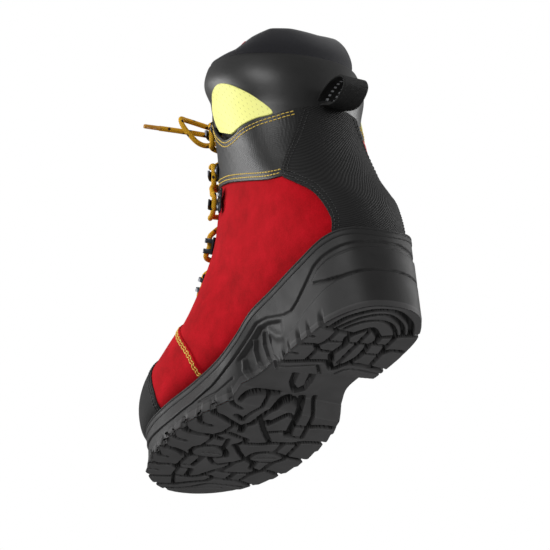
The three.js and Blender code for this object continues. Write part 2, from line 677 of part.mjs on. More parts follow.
// ---- pull loop and label ----
const LOOP_PATH = [[40.5, 201], [35, 202.3], [28, 203], [18, 201], [13.5, 194.5], [18, 187.5], [26, 184.5],
  [34, 186], [40.5, 189.5]]
const STRAP = 1.6
function pullLoop() {
  const line = curveThrough(LOOP_PATH, 2)
  const rows = line.map(([a, z], i) => {
    const [a0, z0] = line[Math.max(i - 1, 0)]
    const [a1, z1] = line[Math.min(i + 1, line.length - 1)]
    const length = Math.hypot(a1 - a0, z1 - z0)
    const na = -(z1 - z0) / length * STRAP / 2
    const nz = (a1 - a0) / length * STRAP / 2
    return [[a + na, z + nz], [a - na, z - nz]]
  })
  const outline = [...rows.map(([p]) => p), ...rows.map(([, q]) => q).reverse()]
  return sidePrism(outline, STRAP_X[0], STRAP_X[1])
}

function sideLabel() {
  const outline = [[52, 158], [60, 156], [63, 174], [55, 176]]
  const skin = shell(GAP + 1.4, GAP, 10.4, 14.4)
  return skin.intersect(sidePrism(outline, -95, 0))
}

add('outsole', outsole(), 0x1d1d1f, 0.75)
add('midsole', midsole(), 0x202022, 0.7)
add('rand', rand(), 0x1a1a1b, 0.8)
buildPanels()
buildInside()
add('collar_padding', collarPadding(), 0x17171a, 0.95)
const tongueHalf = (v) => Math.min(16 + (v - 4.3) * 4, 33)
add('tongue', tonguePart(4.4, TONGUE_JOINT - 0.22, tongueHalf), BLACK, 0.9)
const flapHalf = (v) => linear(THROAT, v) - 5
add('tongue_flap', tonguePart(TONGUE_JOINT + 0.2, TONGUE_TOP, flapHalf, 26), RED, 0.9)
buildHardware()
buildLaces()
buildCords()
add('pull_loop', pullLoop(), BLACK, 0.8)
add('side_label', sideLabel(), RED, 0.7)

export default boot
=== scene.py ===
# A high lace-up safety boot, left foot. Places are (x, a, z) in millimetres: x towards the outer side,
# a forward from the back of the heel, z up. The row frame is (x - CENTRE[0], CENTRE[1] - a, z).
import json
import math

import bmesh
import bpy
import numpy as np
from mathutils import Matrix, Vector
from mathutils.kdtree import KDTree

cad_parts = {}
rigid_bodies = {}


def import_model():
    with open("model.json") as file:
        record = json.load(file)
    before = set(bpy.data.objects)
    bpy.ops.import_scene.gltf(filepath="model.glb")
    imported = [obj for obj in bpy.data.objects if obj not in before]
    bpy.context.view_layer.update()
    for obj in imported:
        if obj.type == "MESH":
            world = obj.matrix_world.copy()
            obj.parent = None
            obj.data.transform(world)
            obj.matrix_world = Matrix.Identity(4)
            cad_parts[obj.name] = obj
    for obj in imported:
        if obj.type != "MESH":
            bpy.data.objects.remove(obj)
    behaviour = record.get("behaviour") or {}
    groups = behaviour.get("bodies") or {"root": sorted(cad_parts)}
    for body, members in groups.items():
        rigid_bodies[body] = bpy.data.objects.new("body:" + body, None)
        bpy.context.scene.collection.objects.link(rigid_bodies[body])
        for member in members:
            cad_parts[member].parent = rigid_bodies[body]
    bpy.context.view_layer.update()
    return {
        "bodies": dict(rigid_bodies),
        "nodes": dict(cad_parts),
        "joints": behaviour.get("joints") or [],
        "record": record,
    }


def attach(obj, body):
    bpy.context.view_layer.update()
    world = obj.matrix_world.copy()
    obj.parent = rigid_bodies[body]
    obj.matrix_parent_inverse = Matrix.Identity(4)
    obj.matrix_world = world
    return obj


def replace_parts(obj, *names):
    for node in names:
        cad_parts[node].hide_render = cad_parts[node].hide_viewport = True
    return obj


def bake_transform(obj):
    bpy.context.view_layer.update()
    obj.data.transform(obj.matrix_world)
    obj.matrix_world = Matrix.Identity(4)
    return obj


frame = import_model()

MM = 0.001
CENTRE = (0.4, 156.65)
TAU = 2 * math.pi


def place(points):
    """Row-frame metres of places in (x, a, z) millimetres."""
    p = np.asarray(points, float)
    return np.stack([p[..., 0] - CENTRE[0], CENTRE[1] - p[..., 1], p[..., 2]], -1) * MM


def unit(v):
    return v / np.maximum(np.linalg.norm(v, axis=-1, keepdims=True), 1e-9)


# ---------------------------------------------------------------- camera and materials
RIGHT = Vector((-0.845431, 0.522372, -0.111233))
UP = Vector((0.178863, 0.473166, 0.862625))
BACK = Vector((0.503243, 0.709395, -0.493463))
PIVOT = Vector(place((0, 150, 100)))
CAMERA_DISTANCE = 3.0
CAMERA_RISE = 0.00781
LENS = 267.4


def turned(x_axis, y_axis, z_axis):
    return Matrix((x_axis, y_axis, z_axis)).transposed()


camera = bpy.data.objects.new("camera", bpy.data.cameras.new("camera"))
bpy.context.scene.collection.objects.link(camera)
camera.matrix_world = Matrix.Translation(PIVOT + BACK * CAMERA_DISTANCE + UP * CAMERA_RISE) @ turned(
    RIGHT, UP, BACK
).to_4x4()
camera.data.sensor_width = 36
camera.data.lens = LENS
camera.data.clip_start, camera.data.clip_end = 0.1, 50
bpy.context.scene.camera = camera
bpy.context.scene.view_settings.view_transform = "Standard"
bpy.context.scene.view_settings.look = "None"


class Shader:
    """A material's nodes, made by short calls."""

    def __init__(self, name):
        self.material = bpy.data.materials.new(name)
        self.material.use_nodes = True
        self.tree = self.material.node_tree
        self.tree.nodes.clear()
        self.out = self.node("ShaderNodeOutputMaterial")
        self.bsdf = self.node("ShaderNodeBsdfPrincipled")
        self.join(self.bsdf, "BSDF", self.out, "Surface")

    def node(self, kind, props=(), **values):
        made = self.tree.nodes.new(kind)
        for key, value in dict(props).items():
            setattr(made, key, value)
        for key, value in values.items():
            made.inputs[key.replace("_", " ")].default_value = value
        return made

    def join(self, a, a_out, b, b_in):
        self.tree.links.new(a.outputs[a_out], b.inputs[b_in])

    def coords(self, kind, scale=(1, 1, 1), turn=0.0):
        source = self.node("ShaderNodeTexCoord")
        mapping = self.node("ShaderNodeMapping")
        mapping.inputs["Scale"].default_value = scale
        mapping.inputs["Rotation"].default_value = (0, 0, turn)
        self.join(source, kind, mapping, "Vector")
        return mapping

    def uv_parts(self, pitch=1.0):
        """The UV's X and Y, in steps of pitch millimetres."""
        where = self.coords("UV", (1 / MM / pitch, 1 / MM / pitch, 1))
        parts = self.node("ShaderNodeSeparateXYZ")
        self.join(where, "Vector", parts, "Vector")
        return parts

    def noise(self, where, scale, detail=3.0, rough=0.5):
        made = self.node("ShaderNodeTexNoise", Scale=scale, Detail=detail, Roughness=rough)
        self.join(where, "Vector", made, "Vector")
        return made

    def math(self, kind, a, b=None):
        """a and b are numbers or (node, output)."""
        made = self.node("ShaderNodeMath", {"operation": kind})
        for i, value in enumerate((a, b)):
            if isinstance(value, tuple):
                self.tree.links.new(value[0].outputs[value[1]], made.inputs[i])
            elif value is not None:
                made.inputs[i].default_value = value
        return (made, 0)

    def ramp(self, value, stops):
        made = self.node("ShaderNodeValToRGB")
        elements = made.color_ramp.elements
        while len(elements) < len(stops):
            elements.new(0.5)
        for element, (at, colour) in zip(elements, stops):
            element.position = at
            element.color = (*colour, 1)
        self.tree.links.new(value[0].outputs[value[1]], made.inputs["Fac"])
        return made

    def bump(self, height, strength, distance, before=None):
        made = self.node("ShaderNodeBump", Strength=strength, Distance=distance)
        self.tree.links.new(height[0].outputs[height[1]], made.inputs["Height"])
        if before:
            self.join(before, "Normal", made, "Normal")
        self.join(made, "Normal", self.bsdf, "Normal")
        return made

    def colour_from(self, node, output="Color"):
        self.join(node, output, self.bsdf, "Base Color")

    def surface(self, **values):
        for key, value in values.items():
            self.bsdf.inputs[key.replace("_", " ")].default_value = value
        return self


HOLE_PITCH = 4.2


def grey(v):
    return (v, v, v)


def suede():
    s = Shader("red_suede")
    s.surface(Roughness=0.95, Sheen_Weight=0.12, Sheen_Roughness=0.5, Specular_IOR_Level=0.1)
    s.bsdf.inputs["Sheen Tint"].default_value = (1.0, 0.25, 0.25, 1)
    where = s.coords("Object")
    broad, fine = s.noise(where, 55, 4, 0.6), s.noise(where, 900, 3, 0.7)
    both = s.math("ADD", s.math("MULTIPLY", (broad, "Fac"), 0.65), s.math("MULTIPLY", (fine, "Fac"), 0.35))
    reds = [(0.32, (0.30, 0.0012, 0.0045)), (0.5, (0.44, 0.002, 0.008)), (0.7, (0.56, 0.004, 0.014))]
    s.colour_from(s.ramp(both, reds))
    first = s.bump((s.noise(where, 1400, 2, 0.7), "Fac"), 0.45, 0.0004)
    s.bump((broad, "Fac"), 0.25, 0.001, first)
    return s.material


def twill():
    s = Shader("twill")
    s.surface(Roughness=0.7, Specular_IOR_Level=0.3)
    lines = []
    diagonal = {"wave_type": "BANDS", "bands_direction": "DIAGONAL"}
    for slope, scale in ((0.9, 0.42), (-1.2, 0.3)):
        where = s.coords("Object", (750, 1000, 1000 * slope))
        wave = s.node("ShaderNodeTexWave", diagonal, Scale=scale, Distortion=0.25)
        s.join(where, "Vector", wave, "Vector")
        lines.append((wave, "Fac"))
    weave = s.math("MULTIPLY", lines[0], s.math("ADD", s.math("MULTIPLY", lines[1], 0.45), 0.55))
    s.colour_from(s.ramp(weave, [(0.1, grey(0.003)), (0.9, grey(0.012))]))
    fine = s.noise(s.coords("Object"), 3000, 2)
    first = s.bump((fine, "Fac"), 0.25, 0.0002)
    s.bump(weave, 0.7, 0.0005, first)
    return s.material


def carbon():
    s = Shader("carbon_leather")
    s.surface(Roughness=0.45, Specular_IOR_Level=0.4)
    where = s.coords("Object", (520, 520, 560))
    smooth = {"feature": "SMOOTH_F1"}
    cells = s.node("ShaderNodeTexVoronoi", smooth, Scale=1.0, Randomness=0.25, Smoothness=0.2)
    s.join(where, "Vector", cells, "Vector")
    s.colour_from(s.ramp((cells, "Distance"), [(0.2, grey(0.010)), (0.75, grey(0.004))]))
    s.bump(s.math("SUBTRACT", 1.0, (cells, "Distance")), 0.35, 0.0005)
    return s.material


def leather(name="collar_leather", tone=0.009, rough=0.46):
    s = Shader(name)
    s.surface(Roughness=rough, Specular_IOR_Level=0.5)
    where = s.coords("Object")
    cells = s.node("ShaderNodeTexVoronoi", Scale=900)
    s.join(where, "Vector", cells, "Vector")
    broad = s.noise(where, 60, 3)
    s.colour_from(s.ramp((broad, "Fac"), [(0.3, grey(tone * 0.8)), (0.7, grey(tone * 1.25))]))
    first = s.bump((cells, "Distance"), 0.12, 0.0002)
    s.bump((broad, "Fac"), 0.15, 0.002, first)
    return s.material


def rubber(name, tone=0.012, rough=0.5):
    s = Shader(name)
    s.surface(Roughness=rough, Specular_IOR_Level=0.35)
    where = s.coords("Object")
    broad, fine = s.noise(where, 40, 5, 0.6), s.noise(where, 1800, 2)
    dark, light_tone = (tone * 0.8, tone * 0.78, tone * 0.78), (tone * 1.4, tone * 1.36, tone * 1.38)
    s.colour_from(s.ramp((broad, "Fac"), [(0.3, dark), (0.7, light_tone)]))
    worn = s.ramp((broad, "Fac"), [(0.3, grey(rough - 0.06)), (0.7, grey(rough + 0.08))])
    s.join(worn, "Color", s.bsdf, "Roughness")
    s.bump((fine, "Fac"), 0.18, 0.0002)
    return s.material


def textile(name, low, high, scale=2600, strength=0.4):
    s = Shader(name)
    s.surface(Roughness=0.95, Sheen_Weight=0.25, Sheen_Roughness=0.5, Specular_IOR_Level=0.2)
    where = s.coords("Object")
    fine = s.noise(where, scale, 2, 0.7)
    s.colour_from(s.ramp((fine, "Fac"), [(0.3, low), (0.7, high)]))
    s.bump((fine, "Fac"), strength, 0.0003)
    return s.material


def hivis():
    s = Shader("hivis_mesh")
    s.surface(Roughness=0.55, Specular_IOR_Level=0.3)
    parts = s.uv_parts(HOLE_PITCH)
    steps = [s.math("SUBTRACT", s.math("FRACT", (parts, k)), 0.5) for k in ("X", "Y")]
    squares = [s.math("MULTIPLY", v, v) for v in steps]
    distance = s.math("SQRT", s.math("ADD", *squares))
    hole = s.ramp(distance, [(0.07, (0.42, 0.42, 0.11)), (0.12, (0.86, 0.86, 0.27))])
    s.colour_from(hole)
    s.bump((s.ramp(distance, [(0.06, grey(0)), (0.12, grey(1))]), "Color"), 0.6, 0.0005)
    # The faint yellow emission is a painted glow: the mesh shines by itself, lit by no lamp.
    s.surface(Emission_Strength=0.12)
    s.bsdf.inputs["Emission Color"].default_value = (0.9, 0.9, 0.25, 1)
    return s.material


def lace_braid():
    s = Shader("lace_cord")
    s.surface(Roughness=0.75, Specular_IOR_Level=0.3)
    parts = s.uv_parts()
    turns, pitch = s.math("MULTIPLY", (parts, "X"), 6.0), s.math("MULTIPLY", (parts, "Y"), 0.62)
    ply = [s.math("PINGPONG", s.math(kind, pitch, turns), 0.5) for kind in ("ADD", "SUBTRACT")]
    braid = s.math("MULTIPLY", *ply)
    lean = s.math("FRACT", s.math("ADD", (parts, "X"), s.math("MULTIPLY", (parts, "Y"), 1 / 15.0)))
    other = s.math("FRACT", s.math("SUBTRACT", s.math("MULTIPLY", (parts, "Y"), 1 / 9.0), (parts, "X")))
    fleck = s.math("MULTIPLY", s.math("LESS_THAN", lean, 0.2), s.math("LESS_THAN", other, 0.3))
    yellows = [(0.0, (0.42, 0.19, 0.006)), (0.1, (0.86, 0.48, 0.014)), (0.25, (0.95, 0.60, 0.025))]
    yellow = s.ramp(braid, yellows)
    mixed = s.node("ShaderNodeMix", {"data_type": "RGBA"})
    s.tree.links.new(fleck[0].outputs[0], mixed.inputs["Factor"])
    s.tree.links.new(yellow.outputs["Color"], mixed.inputs[6])
    mixed.inputs[7].default_value = (0.012, 0.010, 0.008, 1)
    s.tree.links.new(mixed.outputs[2], s.bsdf.inputs["Base Color"])
    s.bump(braid, 0.8, 0.0006)
    return s.material


def plain(name, colour, rough=0.5, metal=0.0, **more):
    s = Shader(name)
    s.surface(Roughness=rough, Metallic=metal, **more)
    s.bsdf.inputs["Base Color"].default_value = (*colour, 1)
    s.bump((s.noise(s.coords("Object"), 1500, 2), "Fac"), 0.1, 0.0001)
    return s.material


def webbing():
    s = Shader("webbing")
    s.surface(Roughness=0.8, Specular_IOR_Level=0.3)
    parts = s.uv_parts()
    zigzag = s.math("PINGPONG", (parts, "X"), 2.6)
    ribs = s.math("FRACT", s.math("MULTIPLY", s.math("ADD", (parts, "Y"), zigzag), 0.75))
    height = s.math("PINGPONG", ribs, 0.5)
    s.colour_from(s.ramp(height, [(0.05, grey(0.003)), (0.4, grey(0.02))]))
    s.bump(height, 0.9, 0.0006)
    return s.material


MATERIALS = {
    "red_suede": suede(),
    "twill_guard": twill(),
    "carbon_leather": carbon(),
    "collar_leather": leather(),
    "sole_rubber": rubber("sole_rubber", 0.030, 0.6),
    # The groove rubber's near-black tone is painted shade for the tread's grooves, a shaded copy of the sole
    # rubber.
    "groove_rubber_painted_shade": rubber("groove_rubber_painted_shade", 0.002, 0.9),
    "cup_rubber": rubber("cup_rubber", 0.010, 0.6),
    "rand_rubber": rubber("rand_rubber", 0.009, 0.62),
    "black_textile": textile("black_textile", (0.008, 0.008, 0.010), (0.02, 0.02, 0.024)),
    "lining_textile": textile("lining_textile", grey(0.012), grey(0.03), 1600),
    "foam_bed": textile("foam_bed", grey(0.05), grey(0.09), 1200),
    "hivis_mesh": hivis(),
    "lace_cord": lace_braid(),
    "black_nickel": plain("black_nickel", (0.06, 0.062, 0.07), 0.32, 1.0),
    "clear_tip": plain("clear_tip", (0.55, 0.26, 0.03), 0.2),
    "webbing": webbing(),
    "red_label": plain("red_label", (0.5, 0.006, 0.012), 0.6),
    "yellow_thread": plain("yellow_thread", (0.80, 0.56, 0.10), 0.7),
    "black_thread": plain("black_thread", grey(0.012), 0.6),
    "reflective": plain("reflective", (0.55, 0.56, 0.58), 0.4),
    "steel": plain("steel", grey(0.4), 0.3, 1.0),
    "board": plain("board", (0.3, 0.2, 0.08), 0.9),
    "stiffener": plain("stiffener", (0.6, 0.58, 0.48), 0.6),
}


# ---------------------------------------------------------------- the upper's surface
# Back point (a, z), front point (a, z), half width outside and inside, widest place, roundness back, front.
# The first row mirrors the third, so that the toe is round.
SECTIONS = np.array([
    [300, 31, 301, 66, -21, -22, 0.42, 2.5, 2.1],
    [304, 36, 304, 46, 0.01, 0.01, 0.5, 2, 2], [300, 31, 301, 66, 21, 22, 0.42, 2.5, 2.1],
    [289, 30, 292, 82, 37, 37, 0.38, 2.9, 2.2], [266, 29, 269, 92, 48, 47, 0.35, 3, 2.3],
    [235, 28, 239, 101, 52, 51, 0.34, 3, 2.3], [200, 29, 211, 116, 52, 51, 0.33, 3, 2.2],
    [160, 31, 194, 138, 50, 46, 0.32, 3, 2.2], [118, 36, 185, 160, 47, 42, 0.33, 2.8, 2.2],
    [75, 40, 181, 178, 48, 40, 0.36, 2.6, 2.2], [36, 44, 178, 193, 49, 40, 0.4, 2.4, 2.2],
    [12, 58, 175, 206, 50, 40, 0.42, 2.3, 2.2], [14, 92, 171, 218, 51, 41, 0.44, 2.2, 2.2],
    [31, 126, 167, 229, 52, 41, 0.45, 2.1, 2.2], [44, 158, 164, 241, 54, 43, 0.46, 2.1, 2.1],
    [48, 188, 161, 253, 56, 46, 0.47, 2.1, 2.1], [47, 214, 159, 265, 57, 48, 0.48, 2.1, 2.1],
    [49, 238, 157, 278, 55, 48, 0.48, 2.1, 2.1],
], float)
TOP_V = len(SECTIONS) - 2
THROAT_V = [4.0, 4.4, 5, 6, 8, 10, 12, 14, 16, 18]
THROAT_HALF = [3, 11, 15, 19, 23, 24, 25, 27, 29, 30]


def spline(table, t, closed=False):
    """Catmull-Rom through the rows of a table."""
    table = np.asarray(table, float)
    n = len(table)
    t = np.asarray(t, float)
    t = t % n if closed else np.clip(t, 0, n - 1 - 1e-9)
    i = np.floor(t).astype(int)
    u = (t - i)[..., None]
    p0, p1, p2, p3 = (table[(i + k) % n if closed else np.clip(i + k, 0, n - 1)] for k in (-1, 0, 1, 2))
    squared, cubed = 2 * p0 - 5 * p1 + 4 * p2 - p3, 3 * p1 - p0 - 3 * p2 + p3
    return 0.5 * (2 * p1 + (p2 - p0) * u + squared * u**2 + cubed * u**3)


def through(points, per_span=6, closed=False):
    n = len(points) if closed else len(points) - 1
    return spline(points, np.arange(n * per_span + (0 if closed else 1)) / per_span, closed)


def skin(v, phi):
    """The upper's surface at section v and turn phi: 0 at the back, pi at the front, positive outside."""
    phi = (np.asarray(phi, float) + math.pi) % TAU - math.pi
    ba, bz, fa, fz, wide, narrow, m, pb, pf = np.moveaxis(spline(SECTIONS, np.asarray(v, float) + 1), -1, 0)
    s = 0.5 * (1 - np.cos(phi))
    back = np.clip((m - s) / m, 0, 1)
    front = np.clip((s - m) / (1 - m), 0, 1)
    profile = np.where(s < m, (1 - back**pb) ** (1 / pb), (1 - front**pf) ** (1 / pf))
    half = np.where(phi > 0, wide, narrow)
    return np.stack([np.sign(phi) * half * profile, ba + (fa - ba) * s, bz + (fz - bz) * s], -1)


def normal(v, phi, step=0.015):
    along = skin(v, phi + step) - skin(v, phi - step)
    up = skin(v + step * 2, phi) - skin(v - step * 2, phi)
    return unit(np.cross(along, up))


def raised(v, phi, lift):
    return skin(v, phi) + normal(v, phi) * np.asarray(lift, float)[..., None]


FINE_V = np.linspace(0, TOP_V, 3201)
FINE = spline(SECTIONS, FINE_V + 1)


def locate(a, z):
    """Section number and turn (0 to pi) of places seen from the side."""
    a, z = np.atleast_1d(a).astype(float), np.atleast_1d(z).astype(float)
    out_v, out_t = np.zeros(len(a)), np.zeros(len(a))
    back, span = FINE[:, 0:2], FINE[:, 2:4] - FINE[:, 0:2]
    length = np.maximum(np.hypot(*span.T), 1e-6)
    for i in range(0, len(a), 400):
        da = a[i:i + 400, None] - back[:, 0]
        dz = z[i:i + 400, None] - back[:, 1]
        off = np.abs(da * span[:, 1] - dz * span[:, 0]) / length
        s = (da * span[:, 0] + dz * span[:, 1]) / length**2
        k = np.argmin(off + 1e3 * np.maximum(np.abs(s - 0.5) - 0.5, 0), axis=1)
        out_v[i:i + 400] = FINE_V[k]
        out_t[i:i + 400] = np.arccos(np.clip(1 - 2 * s[np.arange(len(k)), k], -1, 1))
    return out_v, out_t


def inside_outline(a, z, outline):
    """Even-odd test of points against a closed outline."""
    hit = np.zeros(np.shape(a), bool)
    p = np.asarray(outline, float)
    for (a0, z0), (a1, z1) in zip(p, np.roll(p, -1, axis=0)):
        if z0 != z1:
            hit ^= ((z0 > z) != (z1 > z)) & (a < (a1 - a0) * (z - z0) / (z1 - z0) + a0)
    return hit


# Lengths along the surface, for weave and grain: round a section, and up along the sections.
CHART_ROWS, CHART_TURNS = 160, 360
CHART_V = np.linspace(0, TOP_V, CHART_ROWS + 1)
CHART_PHI = np.linspace(-math.pi, math.pi, CHART_TURNS + 1)
chart = skin(*np.meshgrid(CHART_V, CHART_PHI, indexing="ij"))
AROUND = np.pad(np.cumsum(np.linalg.norm(np.diff(chart, axis=1), axis=-1), axis=1), ((0, 0), (1, 0)))
AROUND = AROUND - AROUND[:, CHART_TURNS // 2, None]
UPWARD = np.pad(np.cumsum(np.linalg.norm(np.diff(chart, axis=0), axis=-1), axis=0), ((1, 0), (0, 0)))


def chart_at(grid, v, phi):
    phi = (np.asarray(phi) + math.pi) % TAU - math.pi
    i = np.clip(v / TOP_V * CHART_ROWS, 0, CHART_ROWS - 0.001)
    j = np.clip((phi + math.pi) / TAU * CHART_TURNS, 0, CHART_TURNS - 0.001)
    i0, j0 = i.astype(int), j.astype(int)
    u, w = i - i0, j - j0
    return ((1 - u) * (1 - w) * grid[i0, j0] + u * (1 - w) * grid[i0 + 1, j0]
            + (1 - u) * w * grid[i0, j0 + 1] + u * w * grid[i0 + 1, j0 + 1])


# ---------------------------------------------------------------- meshes
def new_mesh(name, points, faces, material, uv=None, body="boot", slot=None):
    """A piece from places in millimetres. Faces run anticlockwise seen from outside, in (x, a, z)."""
    mesh = bpy.data.meshes.new(name)
    mesh.from_pydata(place(points).tolist(), [], [tuple(reversed(f)) for f in faces])
    mesh.update()
    mesh.shade_smooth()
    obj = bpy.data.objects.new(name, mesh)
    bpy.context.scene.collection.objects.link(obj)
    mesh.materials.append(MATERIALS[material])
    if uv is not None:
        layer = mesh.uv_layers.new(name="UV")
        index = np.zeros(len(mesh.loops), np.int32)
        mesh.loops.foreach_get("vertex_index", index)
        layer.data.foreach_set("uv", (np.asarray(uv, float)[index] * MM).ravel())
    if slot or material in SLOTS:
        slot or material
    if body:
        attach(obj, body)
    return obj


SLOTS = [m["slot"] for m in frame["record"]["materials"]]


def face_outward(obj, bevel=0.0):
    """Turns a closed piece's faces outward, once its sharp edges are rounded by bevel millimetres."""
    work = bmesh.new()
    work.from_mesh(obj.data)
    if bevel:
        sharp = [e for e in work.edges if len(e.link_faces) == 2 and e.calc_face_angle(0) > 0.5]
        bmesh.ops.bevel(work, geom=sharp, offset=bevel * MM, segments=2, profile=0.6, affect="EDGES",
                        clamp_overlap=True)
    bmesh.ops.recalc_face_normals(work, faces=work.faces)
    work.to_mesh(obj.data)
    work.free()
    obj.data.shade_smooth()


def cut_grid(u, w, inside):
    """Cells of a parameter grid inside a region, with the nearest corners moved onto its edge.
    u and w are 1-D; inside takes arrays. Returns (points in u and w, faces)."""
    U, W = np.meshgrid(u, w, indexing="ij")
    was = inside(U, W)
    P = np.stack([U, W], -1)
    best = np.full(U.shape, 2.0)
    moved = P.copy()
    for di, dj in ((1, 0), (0, 1)):
        a_in, b_in = was[: U.shape[0] - di, : U.shape[1] - dj], was[di:, dj:]
        ii, jj = np.nonzero(a_in != b_in)
        if not len(ii):
            continue
        start, end = P[ii, jj], P[ii + di, jj + dj]
        first = was[ii, jj]
        low, high = np.zeros(len(ii)), np.ones(len(ii))
        for _ in range(11):
            middle = (low + high) / 2
            q = start + (end - start) * middle[:, None]
            same = inside(q[:, 0], q[:, 1]) == first
            low, high = np.where(same, middle, low), np.where(same, high, middle)
        t = (low + high) / 2
        q = start + (end - start) * t[:, None]
        for k in range(len(ii)):
            if t[k] <= 0.5:
                cell, d = (ii[k], jj[k]), t[k]
            else:
                cell, d = (ii[k] + di, jj[k] + dj), 1 - t[k]
            if d < best[cell]:
                best[cell] = d
                moved[cell] = q[k]
    on = best < 1
    kept = was | on
    strict = was & ~on
    faces = []
    count = kept[:-1, :-1].astype(int) + kept[1:, :-1] + kept[:-1, 1:] + kept[1:, 1:]
    some = strict[:-1, :-1] | strict[1:, :-1] | strict[:-1, 1:] | strict[1:, 1:]
    centre = (moved[:-1, :-1] + moved[1:, :-1] + moved[:-1, 1:] + moved[1:, 1:]) / 4
    n = U.shape[1]
    centre_in = np.zeros(count.shape, bool)
    check = (count >= 3) & ~some
    if check.any():
        centre_in[check] = inside(centre[check][:, 0], centre[check][:, 1])
    for i, j in zip(*np.nonzero((count >= 3) & (some | centre_in))):
        corners = [(i, j), (i, j + 1), (i + 1, j + 1), (i + 1, j)]
        faces.append([r * n + c for r, c in corners if kept[r, c]])
    used = np.unique(np.concatenate([np.asarray(f) for f in faces]))
    index = np.full(U.size, -1)
    index[used] = np.arange(len(used))
    return moved.reshape(-1, 2)[used], [[int(index[k]) for k in f] for f in faces]


def finish_edge(points, normals, faces, thick, radius=0.5):
    """Adds a rounded cut edge round a sheet. Returns (points, faces, index of each point's source)."""
    edges = {}
    for f in faces:
        for a, b in zip(f, f[1:] + f[:1]):
            if (b, a) in edges:
                del edges[(b, a)]
            else:
                edges[(a, b)] = True
    out = np.zeros_like(points)
    for a, b in edges:
        side = np.cross(points[b] - points[a], normals[a])
        length = np.linalg.norm(side)
        if length > 1e-9:
            out[a] += side / length
            out[b] += side / length
    rim = sorted({k for e in edges for k in e})
    direction = unit(out[rim])
    base, n = points[rim].copy(), normals[rim]
    points[rim] = base - direction * radius
    rings = [(-0.3, 0.3), (0, 1), (0, max(thick / radius, 1.2))]
    at = {k: i for i, k in enumerate(rim)}
    blocks, source = [points], [np.arange(len(points))]
    for aside, down in rings:
        blocks.append(base + direction * aside * radius - n * down * radius)
        source.append(np.array(rim))
    made = list(faces)
    total = len(points)
    levels = [lambda k: k] + [lambda k, r=r: total + r * len(rim) + at[k] for r in range(3)]
    for a, b in edges:
        for upper, lower in zip(levels, levels[1:]):
            made.append([upper(b), upper(a), lower(a), lower(b)])
    return np.concatenate(blocks), made, np.concatenate(source)


V_STEP, PHI_STEP = 1 / 28, math.pi / 200


def panel(name, inside, lift, material, vs, phis, thick, node, edge=0.5):
    """A piece of the upper. inside(v, phi, places) says where it is; lift is in mm, or a function."""
    u = np.linspace(*vs, int((vs[1] - vs[0]) / V_STEP) + 1)
    w = np.linspace(*phis, int((phis[1] - phis[0]) / PHI_STEP) + 1)
    params, faces = cut_grid(u, w, lambda v, phi: inside(v, phi, skin(v, phi)))
    v, phi = params.T
    normals = normal(v, phi)
    height = lift(v, phi) if callable(lift) else np.full(len(v), float(lift))
    points = skin(v, phi) + normals * height[:, None]
    points, faces, source = finish_edge(points, normals, faces, thick, edge)
    uv = np.stack([chart_at(AROUND, v, phi), chart_at(UPWARD, v, phi)], -1)[source]
    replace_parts(new_mesh(name, points, faces, material, uv), node)


# ---------------------------------------------------------------- panels, seen from the side as (a, z)
FAR = 400
TOE_EDGE = [[248, 20], [245, 44], [247, 56], [252, 72], [259, 100], [262, 120]]
VAMP_SEAM = [[191, 15], [190, 46], [195, 61], [206, 78], [216, 92], [230, 112]]
COUNTER_LOW = [[28, 40], [26, 66], [24, 78], [28, 93], [35, 107], [45, 118], [56, 129]]
COUNTER_HIGH = [[56, 129], [57, 137], [56, 155], [55, 173], [53, 191]]
BAND_LOW = [[50, 128], [56, 129.5], [72, 135], [98, 149], [127, 165], [145, 174], [160, 182], [176, 193],
            [190, 203]]
BAND_HIGH = [[46, 192], [53, 191], [60, 189], [66, 188], [78, 188.5], [94, 189.5], [104, 190.5], [116, 195],
             [127, 205], [136, 216], [143, 229], [150, 245], [165, 275]]
HIVIS = [[65, 190], [76, 190], [88, 191], [102, 192], [114, 197], [123.5, 207], [129, 220], [128, 229],
         [122, 233.5], [115, 235], [106, 234.5], [98, 231], [88, 223], [75, 208]]


def shifted(line, da, dz):
    return [[a + da, z + dz] for a, z in line]


def smooth_line(line):
    return through(line, 5).tolist()


def off_throat(v, phi, p):
    half = np.interp(v, THROAT_V, THROAT_HALF, left=0)
    return ~((np.cos(phi) < 0) & (np.abs(p[..., 0]) < half) & (v > THROAT_V[0]))


def region(outline, side=0):
    """Where a panel is: inside an (a, z) outline, on one side (1 or -1) or both (0), and off the throat."""
    def inside(v, phi, p):
        turned_phi = (phi + math.pi) % TAU - math.pi
        found = inside_outline(p[..., 1], p[..., 2], outline) & off_throat(v, phi, p)
        return found & (turned_phi * side > -0.002) if side else found
    return inside


def collar_lift(v, phi):
    """The collar swells over its padding and turns in at the top."""
    rise = np.clip((v - 14.0) / 2.0, 0, 1)
    return 0.3 + 3.2 * np.sin(math.pi * rise) ** 1.4 - 1.6 * np.clip((v - 15.7) / 0.3, 0, 1) ** 2


def hivis_lift(v, phi):
    return collar_lift(v, phi) + 0.9


FROM_BACK, FROM_FRONT = (-math.pi, math.pi), (0, TAU)
SEAM_LAP = 7
TOE_LINE = smooth_line(TOE_EDGE)
SEAM_LINE = smooth_line(VAMP_SEAM)
COUNTER_LINE = smooth_line(COUNTER_LOW) + smooth_line(COUNTER_HIGH)[1:]
LOW_LINE = smooth_line(BAND_LOW)
HIGH_LINE = smooth_line(BAND_HIGH)

SIDES = {"left": 1, "right": -1}
HALF_TURNS = {1: (-0.01, math.pi), -1: (-math.pi, 0.01)}

